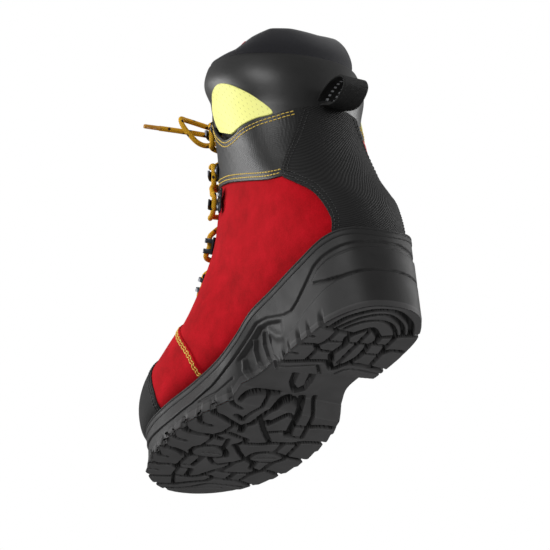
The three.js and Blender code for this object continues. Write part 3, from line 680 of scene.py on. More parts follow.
toe_guard = TOE_LINE + [[FAR, 120], [FAR, 20]]
vamp = SEAM_LINE + shifted(TOE_LINE, SEAM_LAP, 0)[::-1]
quarter = (shifted(smooth_line(COUNTER_LOW), -SEAM_LAP, 2) + shifted(LOW_LINE, 0, SEAM_LAP)[4:]
           + [[236, 208], [236, 114]] + shifted(SEAM_LINE, SEAM_LAP, 0)[::-1] + [[28, 15]])
band = LOW_LINE[3:] + [[200, 240]] + HIGH_LINE[::-1]
collar = shifted(HIGH_LINE, 0, -SEAM_LAP) + [[FAR, 262], [FAR, FAR], [-20, FAR], [-20, 187]]
counter = COUNTER_LINE + [[47, 193], [-20, 194], [-20, 15], [28, 15]]
hivis_outline = through(HIVIS, 5, True)

# Each panel: region, lift, material, sections and turns it spans, thickness, CAD node.
panel("toe_guard_skin", region(toe_guard), 2.1, "twill_guard", (0, 5.4), FROM_FRONT, 2.0, "toe_guard")
panel("vamp_skin", region(vamp), 1.1, "red_suede", (1.6, 6.4), FROM_FRONT, 1.6, "vamp")
for name, side in SIDES.items():
    phis = HALF_TURNS[side]
    panel(f"quarter_{name}_skin", region(quarter, side), 0.0, "red_suede", (3.6, 15.2), phis, 2.0,
          f"quarter_{name}")
    panel(f"ankle_band_{name}_skin", region(band, side), 1.2, "carbon_leather", (8.4, TOP_V), phis, 1.8,
          f"ankle_band_{name}")
    panel(f"hivis_{name}_skin", region(hivis_outline, side), hivis_lift, "hivis_mesh", (12.6, TOP_V), phis,
          1.6, f"hivis_panel_{name}")
panel("collar_skin", region(collar), collar_lift, "collar_leather", (12.8, TOP_V), FROM_BACK, 2.0, "collar")
panel("heel_counter_skin", region(counter), 2.0, "twill_guard", (7, 15), (-1.9, 1.9), 1.8, "heel_counter")


# ---------------------------------------------------------------- stitching
def resample(points, spacing):
    points = np.asarray(points, float)
    length = np.concatenate([[0], np.cumsum(np.linalg.norm(np.diff(points, axis=0), axis=1))])
    at = np.linspace(0, length[-1], max(int(round(length[-1] / spacing)), 1) + 1)
    return np.stack([np.interp(at, length, points[:, k]) for k in range(points.shape[1])], -1)


def seam(line, side, offset, lift):
    """A line on the surface, offset to the left of an (a, z) line. Returns places and normals."""
    flat = resample(line, 1.0)
    v, t = locate(*flat.T)
    p, n = skin(v, side * t), normal(v, side * t)
    along = unit(np.gradient(p, axis=0))
    aside = np.cross(n, along)
    left = np.stack([0 * flat[:, 0], -np.gradient(flat[:, 1]), np.gradient(flat[:, 0])], -1)
    aside *= np.sign((aside * left).sum(1))[:, None]
    p = p + aside * offset
    v, t = locate(p[:, 1], p[:, 2])
    height = lift(v, side * t) if callable(lift) else np.full(len(v), float(lift))
    return raised(v, side * t, height), normal(v, side * t)


def tube_rings(points, normals, radii, sides, flat=1.0):
    """Rings round a line; flat squeezes them along the normals."""
    along = unit(np.gradient(points, axis=0))
    n = unit(normals - along * (normals * along).sum(1)[:, None])
    b = np.cross(along, n)
    turn = np.arange(sides) / sides * TAU
    return (points[:, None] + b[:, None] * (radii[..., None] * np.cos(turn)[:, None])
            + n[:, None] * (radii[..., None] * np.sin(turn)[:, None] * flat))


def open_faces(rows, columns, start=0):
    """Quads between rows of points that aren't closed into rings."""
    return [[a, a + 1, a + columns + 1, a + columns] for i in range(rows - 1)
            for a in range(start + i * columns, start + (i + 1) * columns - 1)]


def ring_faces(rows, sides, start=0, caps=True):
    faces = []
    for i in range(rows - 1):
        for j in range(sides):
            a, b = start + i * sides + j, start + i * sides + (j + 1) % sides
            faces.append([a, b, b + sides, a + sides])
    if caps:
        faces.append([start + j for j in range(sides)][::-1])
        faces.append([start + (rows - 1) * sides + j for j in range(sides)])
    return faces


def stitches(name, seams, material, length=2.5, gap=0.9, radius=0.42, lean=0.0):
    """Short threads along lines on the surface, with both ends sunk into it. lean turns them in zigzag."""
    points, faces = [], []
    share = np.array([-0.5, -0.42, -0.2, 0.2, 0.42, 0.5])
    sink = np.array([-0.75, -0.1, 0.28, 0.28, -0.1, -0.75]) * radius
    size = np.array([0.55, 0.9, 1, 1, 0.9, 0.55]) * radius
    for places, normals in seams:
        both = resample(np.concatenate([places, normals], 1), (length + gap) / 8)
        p, n = both[:, :3], unit(both[:, 3:])
        along = unit(np.gradient(p, axis=0))
        for k in range(4, len(p) - 4, 8):
            direction = along[k]
            if lean:
                swing = lean if (k // 8) % 2 else -lean
                direction = unit(direction * math.cos(swing) + np.cross(n[k], direction) * math.sin(swing))
            line = p[k] + direction * share[:, None] * length + n[k] * sink[:, None]
            rings = tube_rings(line, np.tile(n[k], (6, 1)), np.tile(size[:, None], 6), 6, 0.8)
            faces += ring_faces(6, 6, len(points) * 36)
            points.append(rings.reshape(-1, 3))
    slot = "lace_cord" if material == "yellow_thread" else None
    new_mesh(name, np.concatenate(points), faces, material, slot=slot)


def seam_rows(*lines):
    """Rows of stitches on both sides of the boot. Each line: (a, z) points, offsets of its rows, lift."""
    return [seam(line, side, offset, lift) for side in SIDES.values() for line, offsets, lift in lines
            for offset in offsets]


band_low = [q for q in LOW_LINE if 58 <= q[0] <= 168]
band_high = [q for q in HIGH_LINE if 55 <= q[0] <= 148]
vamp_edge = [q for q in SEAM_LINE if 30 < q[1] < 96]
counter_edge = [q for q in COUNTER_LINE if q[1] > 56]
toe_edge = [q for q in TOE_LINE if 34 < q[1] < 104]
band_rows = seam_rows((band_low, (2.6, 5.4), 1.3), (band_high, (-2.4, -5.2), 1.3))
vamp_rows = seam_rows((vamp_edge, (-2.2, -4.4), 1.2))
guard_rows = seam_rows((counter_edge, (2.4, 5.0), 2.1), (toe_edge, (-2.4, -5.0), 2.2))
stitches("band_stitches", band_rows, "yellow_thread")
stitches("vamp_stitches", vamp_rows, "yellow_thread", length=2.6, gap=0.2, radius=0.5, lean=0.5)
stitches("guard_stitches", guard_rows, "black_thread", length=2.2, gap=0.8, radius=0.4)


# ---------------------------------------------------------------- sole
# Outline of the tread (x, a) and of the rand (x, a, top), round from the back of the heel.
TREAD = [[0, 2], [24, 9], [38, 32], [42, 62], [42, 92], [36, 118], [38, 142], [48, 168], [57, 200],
         [57, 233], [50, 264], [36, 292], [14, 309], [-10, 310], [-31, 298], [-46, 276], [-54, 250],
         [-57, 222], [-56, 192], [-48, 157], [-37, 130], [-36, 108], [-38, 86], [-38, 60], [-34, 32],
         [-20, 9]]
RAND = [[0, 6, 67], [26, 13, 68], [38, 30, 67], [44, 58, 60], [46, 90, 55], [47, 118, 52], [46, 142, 45],
        [46, 168, 39], [48, 200, 36], [50, 233, 36], [47, 264, 37], [35, 290, 40], [14, 307, 43],
        [-11, 308, 43], [-30, 295, 40], [-44, 274, 37], [-50, 250, 36], [-50, 222, 36], [-47, 192, 37],
        [-45, 157, 42], [-42, 130, 50], [-40, 108, 55], [-40, 86, 60], [-40, 58, 67], [-34, 30, 72],
        [-24, 13, 71]]
RAND_HEIGHT = 6.0
WAIST_RISE = 9.0
EDGE_ROUND = 1.2
GROOVE_WIDER, GROOVE_DEEPER = 0.7, 1.25
# Grooves of the tread: width, depth, line as (x, a).
GROOVES = [
    (3, 4, [(31, 304.5), (21, 301.5), (12, 298), (8, 294.5), (-0.5, 287.5), (-8, 282)]),
    (2, 2.5, [(12, 306.5), (2, 302), (-5.5, 294.5), (-10.5, 288), (-18, 285), (-38, 282)]),
    (1.3, 1.3, [(19.5, 312), (7, 307), (-3, 301), (-13, 294.5), (-25.5, 289.5)]),
    (3, 4.5, [(41, 291), (32, 289), (22, 285), (19, 282), (12, 281.5), (7, 279.5), (1, 274.5),
              (-0.5, 271.5)]),
    (1.4, 3, [(11.5, 297.5), (18, 286), (21.5, 279.5), (24.5, 268), (28, 262)]),
    (3, 4.5, [(-8, 282), (-10, 275.5), (-19, 275), (-30.5, 273), (-42.5, 276)]),
    (2, 4, [(-10, 275.5), (-5.5, 272.5), (1, 274)]),
    (3, 4.5, [(11, 279), (14, 268)]),
    (1.4, 3.5, [(24.5, 268), (14, 266.5)]),
    (1.6, 3.5, [(28.5, 262), (17, 260.5)]),
    (1.6, 3.5, [(28, 262), (29.5, 249.5), (30, 245)]),
    (3, 4.5, [(17.5, 260), (18, 245)]),
    (2.6, 4.5, [(1, 272), (-2, 264.5), (-5.5, 258), (-8.5, 253), (-9, 244)]),
    (2.2, 4.5, [(12, 244), (7, 249), (1, 252), (-5, 247), (-10, 243)]),
    (3.4, 5, [(56, 256), (53, 261.5), (49.5, 266), (43, 268), (37, 266), (29.5, 265), (24.5, 268)]),
    (1.6, 2, [(44, 279), (37, 278)]),
    (4, 5, [(59.5, 227), (56, 236), (51, 239), (46, 239.5), (38, 242), (32, 245.5), (28, 244)]),
    (2, 3, [(54, 247), (49.5, 253), (43, 254)]),
    (4, 5, [(60, 201), (54.5, 208), (47, 211), (38, 211.5), (31, 211), (21, 213)]),
    (2, 3, [(59.5, 216.5), (54.5, 222.5), (44.5, 224.5)]),
    (3.6, 5, [(52, 171), (47, 179.5), (39.5, 182), (31, 186), (24.5, 189), (18, 191.5)]),
    (2.6, 3.5, [(56, 184), (51, 193), (46, 196.5), (39, 197.5)]),
    (2.6, 3.5, [(46, 157.5), (41, 163), (31.5, 167.5)]),
    (1.6, 4, [(29, 227.5), (28, 214), (31, 211)]),
    (3.2, 5, [(32.5, 237), (32, 231), (27, 227), (19.5, 224.5), (12, 226), (6, 231), (3, 237)]),
    (1.8, 4, [(32.5, 237), (28, 243), (18, 244), (8, 241.5), (3, 237)]),
    (1.2, 1.5, [(23, 237), (9.5, 235)]),
    (3, 5, [(-14, 232), (-15.5, 224.5), (-23, 220), (-33, 219.5), (-40, 222)]),
    (1.8, 4, [(-14, 232), (-18, 236.5), (-28, 236), (-37, 232), (-40.5, 226.5)]),
    (1.2, 1.5, [(-20.5, 231), (-33, 226)]),
    (2.5, 4.5, [(-14, 236.5), (-3, 227), (3, 220.5), (7, 218)]),
    (2.2, 4.5, [(12, 225), (14, 217), (15.5, 212)]),
    (2.2, 4.5, [(-3, 262), (-8, 262), (-13, 262), (-18, 261), (-24, 259), (-30, 257)]),
    (2, 4.5, [(-8, 261), (-9, 247), (-10, 242)]),
    (2.6, 4.5, [(-30, 256.5), (-33, 250.5), (-26, 248), (-23.5, 241), (-15.5, 237), (-13, 238), (-10, 243)]),
    (2.6, 4.5, [(-20.5, 273), (-20, 261.5)]),
    (1.6, 3.5, [(-30.5, 272), (-31.5, 257)]),
    (3.6, 5, [(-31.5, 258), (-34.5, 251), (-40.5, 248), (-51, 250.5)]),
    (2.4, 4, [(-36, 247.5), (-36, 234.5), (-39.5, 227), (-42, 222)]),
    (2.6, 4, [(-26, 247.5), (-24, 238)]),
    (3.2, 5, [(-42, 222), (-55.5, 222)]),
    (1.8, 4, [(-41, 221.5), (-40, 218), (-38.5, 203), (-36.5, 197.5)]),
    (2.2, 4, [(-28, 217.5), (-27.5, 205)]),
    (3.4, 5, [(0, 213.5), (-10.5, 210.5), (-18, 206), (-25.5, 204), (-34, 201), (-39.5, 197), (-53.5, 193)]),
    (2.4, 4.5, [(7, 218), (2, 213)]),
    (3, 5, [(28, 207.5), (21, 203), (9.5, 206), (2, 208), (3, 213)]),
    (1.6, 4, [(25, 203.5), (23, 190.5)]),
    (4, 5, [(13.5, 197.5), (15.5, 189), (12, 184.5), (11, 177), (10, 164.5), (5.5, 156), (2, 153.5),
            (-1, 152.5)]),
    (3, 2, [(-14.5, 203.5), (-3, 191.5), (7, 179.5), (12, 173.5)]),
    (2.6, 4.5, [(-7, 192), (-18, 187), (-23, 192), (-34.5, 191.5)]),
    (4, 5, [(3, 177.5), (0.5, 181), (-3, 171), (-6, 163)]),
    (4, 5, [(-23, 190), (-19, 179.5), (-15.5, 168), (-13, 160), (-12.5, 153.5), (-11, 150)]),
    (3, 5, [(-6, 163), (-13, 166)]),
    (1.8, 4, [(-35, 191), (-30.5, 176), (-25, 159), (-22.5, 153.5), (-19.5, 146)]),
    (3, 5, [(-21, 177), (-31, 175.5)]),
    (4.6, 5, [(-31, 174.5), (-38, 171.5), (-47, 170)]),
    (1.6, 4, [(22, 182), (21, 169.5), (17, 156.5), (16, 151)]),
    (3, 4.5, [(30, 177), (24.5, 179.5), (22, 182)]),
    (2.4, 4.5, [(37.5, 158), (33.5, 154), (25.5, 151.5), (17, 150.5), (9, 149.5)]),
    (2.2, 4.5, [(0.5, 152.5), (-6, 152.5), (-12, 155.5), (-13, 160)]),
    (3.6, 5, [(52, 86), (48, 92.5), (43, 97), (12, 85), (0.5, 93), (-7, 82), (-35, 82)]),
    (1.3, 1.6, [(52.5, 86), (42, 103.5), (15.5, 93), (12, 94), (5.5, 102)]),
    (1.3, 1.6, [(-5, 99.5), (-12, 89), (-38.5, 88)]),
    (2.8, 4.5, [(57, 58), (52, 65), (47, 70), (39.5, 69), (32, 67), (28, 69.5), (24.5, 73), (17, 72)]),
    (2, 3, [(52.5, 74.5), (47, 82.5), (37, 82.5)]),
    (2.2, 3.5, [(56, 46.5), (52, 52), (48, 57), (39, 57.5)]),
    (3.2, 5, [(56, 29), (52, 36.5), (47, 42), (38, 43), (28, 44), (15.5, 44.5)]),
    (1.8, 4, [(25.5, 87), (26, 74)]),
    (1.8, 4, [(28.5, 66), (26, 59.5), (26, 46.5)]),
    (1.8, 4, [(24.5, 59.5), (19, 58), (13, 57)]),
    (3, 5, [(7.5, 83), (12, 76), (12.5, 72), (11, 58), (14.5, 52), (14, 46), (9.5, 38), (4.5, 33), (-2, 38),
            (-7, 43), (-8, 49.5), (-5.5, 54.5), (-7, 59.5), (-8, 72), (-5.5, 82)]),
    (1.8, 4.5, [(1, 84.5), (2, 71), (3, 56), (4.5, 35)]),
    (2, 4.5, [(8, 56), (-2, 54)]),
    (2, 4.5, [(-23, 80), (-21.5, 66), (-19, 53), (-18, 37)]),
    (1.8, 4, [(-8.5, 66.5), (-20, 64)]),
    (1.8, 4.5, [(-6.5, 53), (-15.5, 51), (-19, 53)]),
    (3, 5, [(-22, 61), (-24.5, 56), (-33.5, 54)]),
    (3.2, 5, [(-8, 41.5), (-18, 36.5), (-32, 30.5)]),
    (3, 4.5, [(34, 40), (31, 27), (24.5, 17), (17, 10), (8, 7), (-0.5, 7), (-9, 11), (-18, 18), (-24, 27),
              (-26, 31)]),
    (2, 4, [(29, 40), (24.5, 29.5), (19.5, 21), (12, 15), (3, 13), (-5.5, 16.5), (-13, 22), (-19, 29.5),
            (-21, 33)]),
    (1.8, 4, [(24, 40), (19.5, 31), (13, 24.5), (4.5, 21.5), (-4, 23), (-12, 29.5), (-16, 35)]),
]
# Recess in the waist, with a bar standing in it.
WINDOW_DEPTH = 5.0
WINDOW = [(-2, 148), (-8, 142), (-6, 128), (-2, 116), (13, 116), (15, 121), (10, 134), (3, 143)]
WINDOW_BAR = [(-1, 140), (-3, 134), (3, 117), (10.5, 119), (5, 135)]


def smoothstep(t):
    t = np.clip(t, 0, 1)
    return t * t * (3 - 2 * t)


def line_distance(p, line):
    """Distance from each point to a polyline."""
    line = np.asarray(line, float)
    best = np.full(len(p), 1e9)
    for a, b in zip(line, line[1:]):
        d = b - a
        t = np.clip(((p - a) @ d) / max(d @ d, 1e-9), 0, 1)
        best = np.minimum(best, np.linalg.norm(p - a - t[:, None] * d, axis=1))
    return best


def tread_base(x, a):
    """Height of the lugs' faces: the toe spring and the raised waist."""
    spring = np.interp(a, [200, 222, 233, 264, 292, 310], [0, 0.2, 0.6, 3, 6, 8])
    breast = np.interp(x, [-42, -20, 7, 44, 60], [94, 98, 103, 111, 114])
    waist = np.clip(0.9 * (160 - a), 0, WAIST_RISE)
    return spring + np.minimum(WAIST_RISE * smoothstep((a - breast) / 4), waist)


def groove_depth(x, a, soft=0.45):
    p = np.stack([np.ravel(x), np.ravel(a)], -1).astype(float)
    depth = np.zeros(len(p))
    for width, deep, line in GROOVES:
        width, deep = width + GROOVE_WIDER, deep * GROOVE_DEEPER
        q = np.asarray(line, float)
        near = np.nonzero(np.all((p > q.min(0) - width) & (p < q.max(0) + width), axis=1))[0]
        if len(near):
            d = line_distance(p[near], through(q.tolist(), 3))
            wall = 1 - smoothstep((d - width / 2 + soft) / (2 * soft))
            depth[near] = np.maximum(depth[near], deep * wall)
    hole = inside_outline(*p.T, WINDOW) & ~inside_outline(*p.T, WINDOW_BAR)
    return np.maximum(depth, hole * WINDOW_DEPTH).reshape(np.shape(x))


def outline_at(t):
    """Tread outline at t, with the lugs standing out a little from each other."""
    q = spline(TREAD, t, True)
    middle = np.stack([0 * q[:, 0], np.clip(q[:, 1], 45, 265)], -1)
    out = unit(q - middle)
    step = np.where((q[:, 1] > 168) & (q[:, 1] < 292), ((q[:, 1] - 166) / 13.6) % 1.0, 0)
    tooth = 1.5 * np.where(step < 0.85, step / 0.85, (1 - step) / 0.15)
    notch = groove_depth(*(q - out * 1.5).T) * 0.5
    return q + out * (tooth - notch)[:, None], out


def side_point(t, rise):
    """The sole's side wall: rise runs from 0 at the tread to 1 under the rand."""
    q, out = outline_at(t)
    base = tread_base(*q.T) + EDGE_ROUND
    rand = spline(RAND, t, True)
    plain_q = spline(TREAD, t, True)
    height = (rand[:, 2] - RAND_HEIGHT - base) * rise
    fade = 1 - smoothstep(height / 13)
    flat = q * fade[:, None] + plain_q * (1 - fade)[:, None]
    xy = flat + (rand[:, :2] - plain_q) * (rise ** 1.15)[:, None]
    return np.concatenate([xy, (base + height)[:, None]], 1), out


AROUND_T = np.arange(0, len(TREAD) + 0.001, 0.02)
MIDDLE = (spline(TREAD, AROUND_T, True) + spline(RAND, AROUND_T, True)[:, :2]) / 2
AROUND_U = np.concatenate([[0], np.cumsum(np.linalg.norm(np.diff(MIDDLE, axis=0), axis=1))])


def along_wall(t):
    """Length from the back of the heel, the same on both sides."""
    u = np.interp(t, AROUND_T, AROUND_U)
    return np.minimum(u, AROUND_U[-1] - u)


def wall_line(line):
    """(x, a, z) places on the outer wall, as (length, z)."""
    line = np.asarray(line, float)
    near = np.argmin(np.linalg.norm(MIDDLE[None] - line[:, None, :2], axis=-1), axis=1)
    return np.stack([np.minimum(AROUND_U[near], AROUND_U[-1] - AROUND_U[near]), line[:, 2]], -1)


# Creases of the cup, traced on the outer wall.
FOLD = wall_line([
    (0, 6, 56), (7, 6, 57), (18, 9, 55.6), (28, 14, 54.8), (36, 25.5, 53.9), (40, 36, 52), (42, 45, 48.5),
    (42.5, 51, 43), (43, 58, 37), (43.6, 66, 31.5), (44, 74, 28.5), (44, 84, 30.5), (45, 103, 38.3),
    (45, 116, 41), (44.5, 129, 37.3), (44, 144, 33), (45.5, 160, 27.5), (48.5, 178, 21), (52.6, 200, 17.5),
    (54, 226, 17.5), (51, 251, 20.5), (47.7, 265, 23), (35, 291, 28), (2, 310, 31),
])
BAND_UP = wall_line([
    (0, 6, 51.6), (4, 6, 52), (19, 9, 50.6), (31, 18, 49.2), (37.6, 29.6, 48), (40.6, 40, 44.6),
    (41.7, 46, 39),
])
BAND_DOWN = wall_line([
    (0, 5, 32), (17, 7, 31.7), (28, 14, 30.8), (34.4, 22.6, 30.7), (38.8, 33.6, 32.8), (41.5, 45.7, 36.8),
])
WEDGE = wall_line([
    (0, 5, 31.5), (17, 7, 31.2), (29.5, 15, 29.7), (35, 24.4, 29), (39.6, 36.5, 26.5), (41.4, 47.5, 23.3),
    (42.3, 57.4, 20.3), (42.8, 64, 17.5), (43.2, 76, 14), (43, 90, 9),
])
# Ribs of the waist: height, width, line as (x, a, z).
RIBS = [
    (1.9, 1.3, [(42.8, 126.6, 33), (41.2, 131.2, 27.6), (38.7, 132.6, 19.2), (36.3, 129.8, 11.7),
                (36, 127, 9)]),
    (1.7, 1.2, [(42.8, 115.4, 33.8), (40.5, 119.8, 26.8), (37.7, 120.7, 17.6), (36, 119, 10)]),
    (1.2, 1.0, [(42.7, 108, 28), (41, 111, 21.6), (39, 111, 14.2), (39, 106, 7)]),
    (1.9, 1.4, [(42, 144, 26), (41, 146, 19), (40, 145, 13), (39, 143, 9)]),
    (1.6, 3.2, [(43.5, 107, 31), (43, 99, 22.3), (43, 89, 17)]),
    (-0.9, 1.0, [(52, 190.5, 14.9), (48.6, 173.4, 13.6), (44.4, 156.6, 17)]),
]


def crease(away, width):
    return np.exp(-((away / width) ** 2))


def cup_relief(u, z):
    """How far the cup stands out of its plain wall."""
    fold, up, down, wedge = (np.interp(u, *table.T) for table in (FOLD, BAND_UP, BAND_DOWN, WEDGE))
    out = -1.0 * smoothstep((fold + 0.4 - z) / 0.8) - 0.8 * crease(z - fold, 0.7)
    here = 1 - smoothstep((u - BAND_UP[-1, 0] + 0.5) / 2)
    out += here * 1.5 * smoothstep((z - down) / 0.7) * (1 - smoothstep((z - up + 1.2) / 1.6))
    out -= here * (0.7 * crease(z - up - 0.4, 0.6) + 0.8 * crease(z - down + 0.4, 0.6))
    near = 1 - smoothstep((u - WEDGE[-1, 0] + 14) / 14)
    out += near * 1.6 * (1 - smoothstep((z - wedge + 1.2) / 2.4))
    waist = smoothstep((u - 104) / 10) * (1 - smoothstep((u - 162) / 10))
    out -= waist * 2.4 * smoothstep((fold - 2 - z) / 3)
    for height, width, ridge in RIBS:
        d = line_distance(np.stack([u, z], -1), wall_line(ridge))
        out += height * crease(d, width)
    return out


def split_height(t):
    """Height over the tread at which the outsole's rubber meets the cup."""
    a = spline(TREAD, t, True)[:, 1]
    return np.interp(a, [60, 110, 150, 200, 290], [4.5, 4, 6, 9, 8])


def wall_row(t, rise):
    """One ring of the side wall, with the cup's relief fading out at its top and bottom."""
    p, out = side_point(t, rise)
    edge = smoothstep(rise / 0.06) * smoothstep((1 - rise) / 0.05)
    p[:, :2] += out * (cup_relief(along_wall(t), p[:, 2]) * edge)[:, None]
    return p


def ring_mesh(name, rings, material, node):
    faces = ring_faces(len(rings), len(rings[0]), caps=False)
    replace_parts(new_mesh(name, np.concatenate(rings), faces, material), node)


PATCH_STEP = 0.62


def tread_patch():
    """The lugs' faces with the grooves between them, rounded down at the outline."""
    t = np.arange(0, len(TREAD), 0.005)
    edge = outline_at(t)[0]
    tree = KDTree(len(edge))
    for k, (x, a) in enumerate(edge):
        tree.insert((x, a, 0), k)
    tree.balance()
    coarse = edge[::4]
    params, faces = cut_grid(np.arange(-60, 61, PATCH_STEP), np.arange(-1, 313, PATCH_STEP),
                             lambda x, a: inside_outline(x, a, coarse))
    x, a = params.T
    away = np.array([tree.find((px, pa, 0))[2] for px, pa in params])
    drop = np.sqrt(np.maximum(EDGE_ROUND ** 2 - (EDGE_ROUND - away) ** 2, 0))
    edge_lift = np.where(away < EDGE_ROUND, EDGE_ROUND - drop, 0)
    z = tread_base(x, a) + np.maximum(groove_depth(x, a), edge_lift)
    return np.stack([x, a, z], -1), [f[::-1] for f in faces]


WALL_COLUMNS, OUTSOLE_ROWS, CUP_ROWS, RAND_COLUMNS = 1000, 10, 69, 700
PAINTED_SHADE_DEPTH = 1.4
WALL_T = np.arange(WALL_COLUMNS) / WALL_COLUMNS * len(TREAD)
rand_top = spline(RAND, WALL_T, True)[:, 2] - RAND_HEIGHT
base = tread_base(*spline(TREAD, WALL_T, True).T) + EDGE_ROUND
split = split_height(WALL_T) / (rand_top - base)
patch, patch_faces = tread_patch()
lower = [wall_row(WALL_T, split * k / (OUTSOLE_ROWS - 1)) for k in range(OUTSOLE_ROWS)]
skirt = lower[0].copy()
skirt[:, :2] -= outline_at(WALL_T)[1] * EDGE_ROUND
skirt[:, 2] += EDGE_ROUND
lower = [skirt] + lower
wall_faces = ring_faces(len(lower), WALL_COLUMNS, len(patch), caps=False)
sole = new_mesh("outsole_tread", np.concatenate([patch] + lower), patch_faces + wall_faces, "sole_rubber")
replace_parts(sole, "outsole")
# Groove faces more than 1.4 mm deep take a near-black copy of the sole rubber: painted shade in the grooves.
sole.data.materials.append(MATERIALS["groove_rubber_painted_shade"])
deep = groove_depth(patch[:, 0], patch[:, 1]) > PAINTED_SHADE_DEPTH
groove_shade_faces = [sum(deep[k] for k in f) > 2 for f in patch_faces] + [False] * len(wall_faces)
sole.data.polygons.foreach_set("material_index", np.array(groove_shade_faces, np.int32))
upper = [wall_row(WALL_T, split + (1 - split) * k / (CUP_ROWS - 1)) for k in range(CUP_ROWS)]
ring_mesh("midsole_cup", upper, "cup_rubber", "midsole")

# The rand's section: (out, up) from its top edge, with a groove at mid height.
RAND_PROFILE = [(-1.2, -6.8), (0, -6.3), (0.35, -5.6), (0.55, -4.6), (0.6, -3.3), (0.5, -2.5), (0.1, -2.15),
                (0.1, -1.85), (0.55, -1.5), (0.65, -1.0), (0.45, -0.35), (0.0, 0.0), (-0.8, 0.1),
                (-2.6, -0.2), (-4.0, -1.0)]
rand_t = np.arange(RAND_COLUMNS) / RAND_COLUMNS * len(TREAD)
edge, outward = spline(RAND, rand_t, True), outline_at(rand_t)[1]
rings = [edge + np.column_stack([outward * aside, np.full(RAND_COLUMNS, up)]) for aside, up in RAND_PROFILE]
ring_mesh("rand_strip", rings, "rand_rubber", "rand")


# ---------------------------------------------------------------- laces and their fittings
def front(v, x, side, lift=0.0):
    """The place on the front of the boot at section v, x away from its middle line."""
    low, high = math.pi / 2, math.pi
    for _ in range(26):
        middle = (low + high) / 2
        if skin(v, side * middle)[0] * side > x:
            low = middle
        else:
            high = middle
    turn = side * (low + high) / 2
    return skin(v, turn) + normal(v, turn) * lift


def facing_frame(v, x, side, lift):
    """Origin, towards the throat, up the facing, and out of the leather."""
    origin = front(v, x, side)
    up = unit(front(v + 0.2, x, side) - front(v - 0.2, x, side))
    out = unit(np.cross(front(v, x - 2, side) - front(v, x + 2, side), up))
    out = out if out[1] > 0 else -out
    inward = unit(np.cross(out, up))
    inward = -inward if inward[0] * side > 0 else inward
    return origin + out * lift, inward, up, out


def framed(points, frame):
    origin, inward, up, out = frame
    points = np.asarray(points, float)
    return origin + points[:, :1] * inward + points[:, 1:2] * up + points[:, 2:] * out


def joined(parts):
    """Points and faces of several (points, faces) as one."""
    starts = np.cumsum([0] + [len(p) for p, _ in parts])
    faces = [[int(s) + k for k in face] for s, (_, f) in zip(starts, parts) for face in f]
    return np.concatenate([p for p, _ in parts]), faces


def solid(name, parts, material, bevel):
    """Closed shells as one piece, turned outward, with their corners rounded."""
    obj = new_mesh(name, *joined(parts), material)
    face_outward(obj, bevel)
    obj.data.set_sharp_from_angle(angle=0.7)
    return obj


def bent_strip(line, thick, widths, y=0.0):
    """Sheet metal of a given thickness and width, following (x, z) points."""
    line = np.asarray(line, float)
    along = unit(np.gradient(line, axis=0))
    aside = np.stack([-along[:, 1], along[:, 0]], -1) * thick / 2
    half = np.broadcast_to(np.asarray(widths, float) / 2, len(line))
    rings = []
    for p, d, w in zip(line, aside, half):
        rings.append([[p[0] + d[0], y - w, p[1] + d[1]], [p[0] + d[0], y + w, p[1] + d[1]],
                      [p[0] - d[0], y + w, p[1] - d[1]], [p[0] - d[0], y - w, p[1] - d[1]]])
    return np.concatenate(rings), ring_faces(len(line), 4)


def turned_part(x, y, profile, sides=22):
    """A lathed part; profile is (radius, height)."""
    turn = np.arange(sides) / sides * TAU
    rings = [np.stack([x + r * np.cos(turn), y + r * np.sin(turn), np.full(sides, h)], -1)
             for r, h in profile]
    return np.concatenate(rings), ring_faces(len(profile), sides)


def plate(outline, low, high):
    outline = np.asarray(outline, float)
    n = len(outline)
    points = [np.column_stack([outline, np.full(n, h)]) for h in (low, high)]
    return np.concatenate(points), ring_faces(2, n)


# A rivet's dome from its rim inward: shares of the radius and of the height.
DOME = [(0.93, 0.35), (0.75, 0.68), (0.45, 0.92), (0.3, 0.97), (0.24, 0.85)]
RIVET_BASE = 1.4


def rivet(x, y, r, h):
    dome = [(r * across, RIVET_BASE + h * up) for across, up in DOME]
    shank = [(r, RIVET_BASE - 1), (r, RIVET_BASE + 0.5)]
    return turned_part(x, y, shank + dome + [(0.02, RIVET_BASE + h * 0.8)])


# A hook's strip: (towards the throat, out), and its width at each of those places.
HOOK_LINE = [(-9, 0.95), (0, 0.95), (3, 0.98), (4.4, 1.5), (5.05, 2.6), (5.1, 4.6), (4.8, 6), (4.0, 6.9),
             (2.6, 7.3), (0.2, 7.6), (-2, 7.9)]
HOOK_WIDTHS = [8.8, 8.8, 8.4, 8, 7.8, 7.6, 7.6, 7.4, 7.2, 6.6, 4.6]


def round_plate(x, r):
    return [(x + r * math.cos(t), r * math.sin(t)) for t in np.arange(28) / 28 * TAU]


def eight(x, gap, r, n=14):
    """Figure-eight outline of a plate for two rivets."""
    reach = math.acos(min(gap * 0.62 / r, 0.95)) * 0.75
    turns = np.linspace(-math.pi / 2 + reach, 1.5 * math.pi - reach, n)
    top = [(x + r * math.cos(t), gap + r * math.sin(t)) for t in turns]
    return top + [(px, -py) for px, py in reversed(top)]


LOOP_ARCH = [(-4.35, 1.2), (-4.4, 3.4), (-4.3, 5.6), (-3.5, 7.0), (-1.8, 7.5), (1.8, 7.5), (3.5, 7.0),
             (4.3, 5.6), (4.4, 3.4), (4.35, 1.2)]
LOOP_PLATE = [(-5.2, -5.8), (5.2, -5.8), (5.2, 6.4), (3.8, 7.2), (-3.8, 7.2), (-5.2, 6.4)]
LOCK_NECK = [(-11, -3.2), (-3, -4.2), (-3, 4.2), (-11, 3.2)]
hook_strip = bent_strip(HOOK_LINE, 1.3, HOOK_WIDTHS)
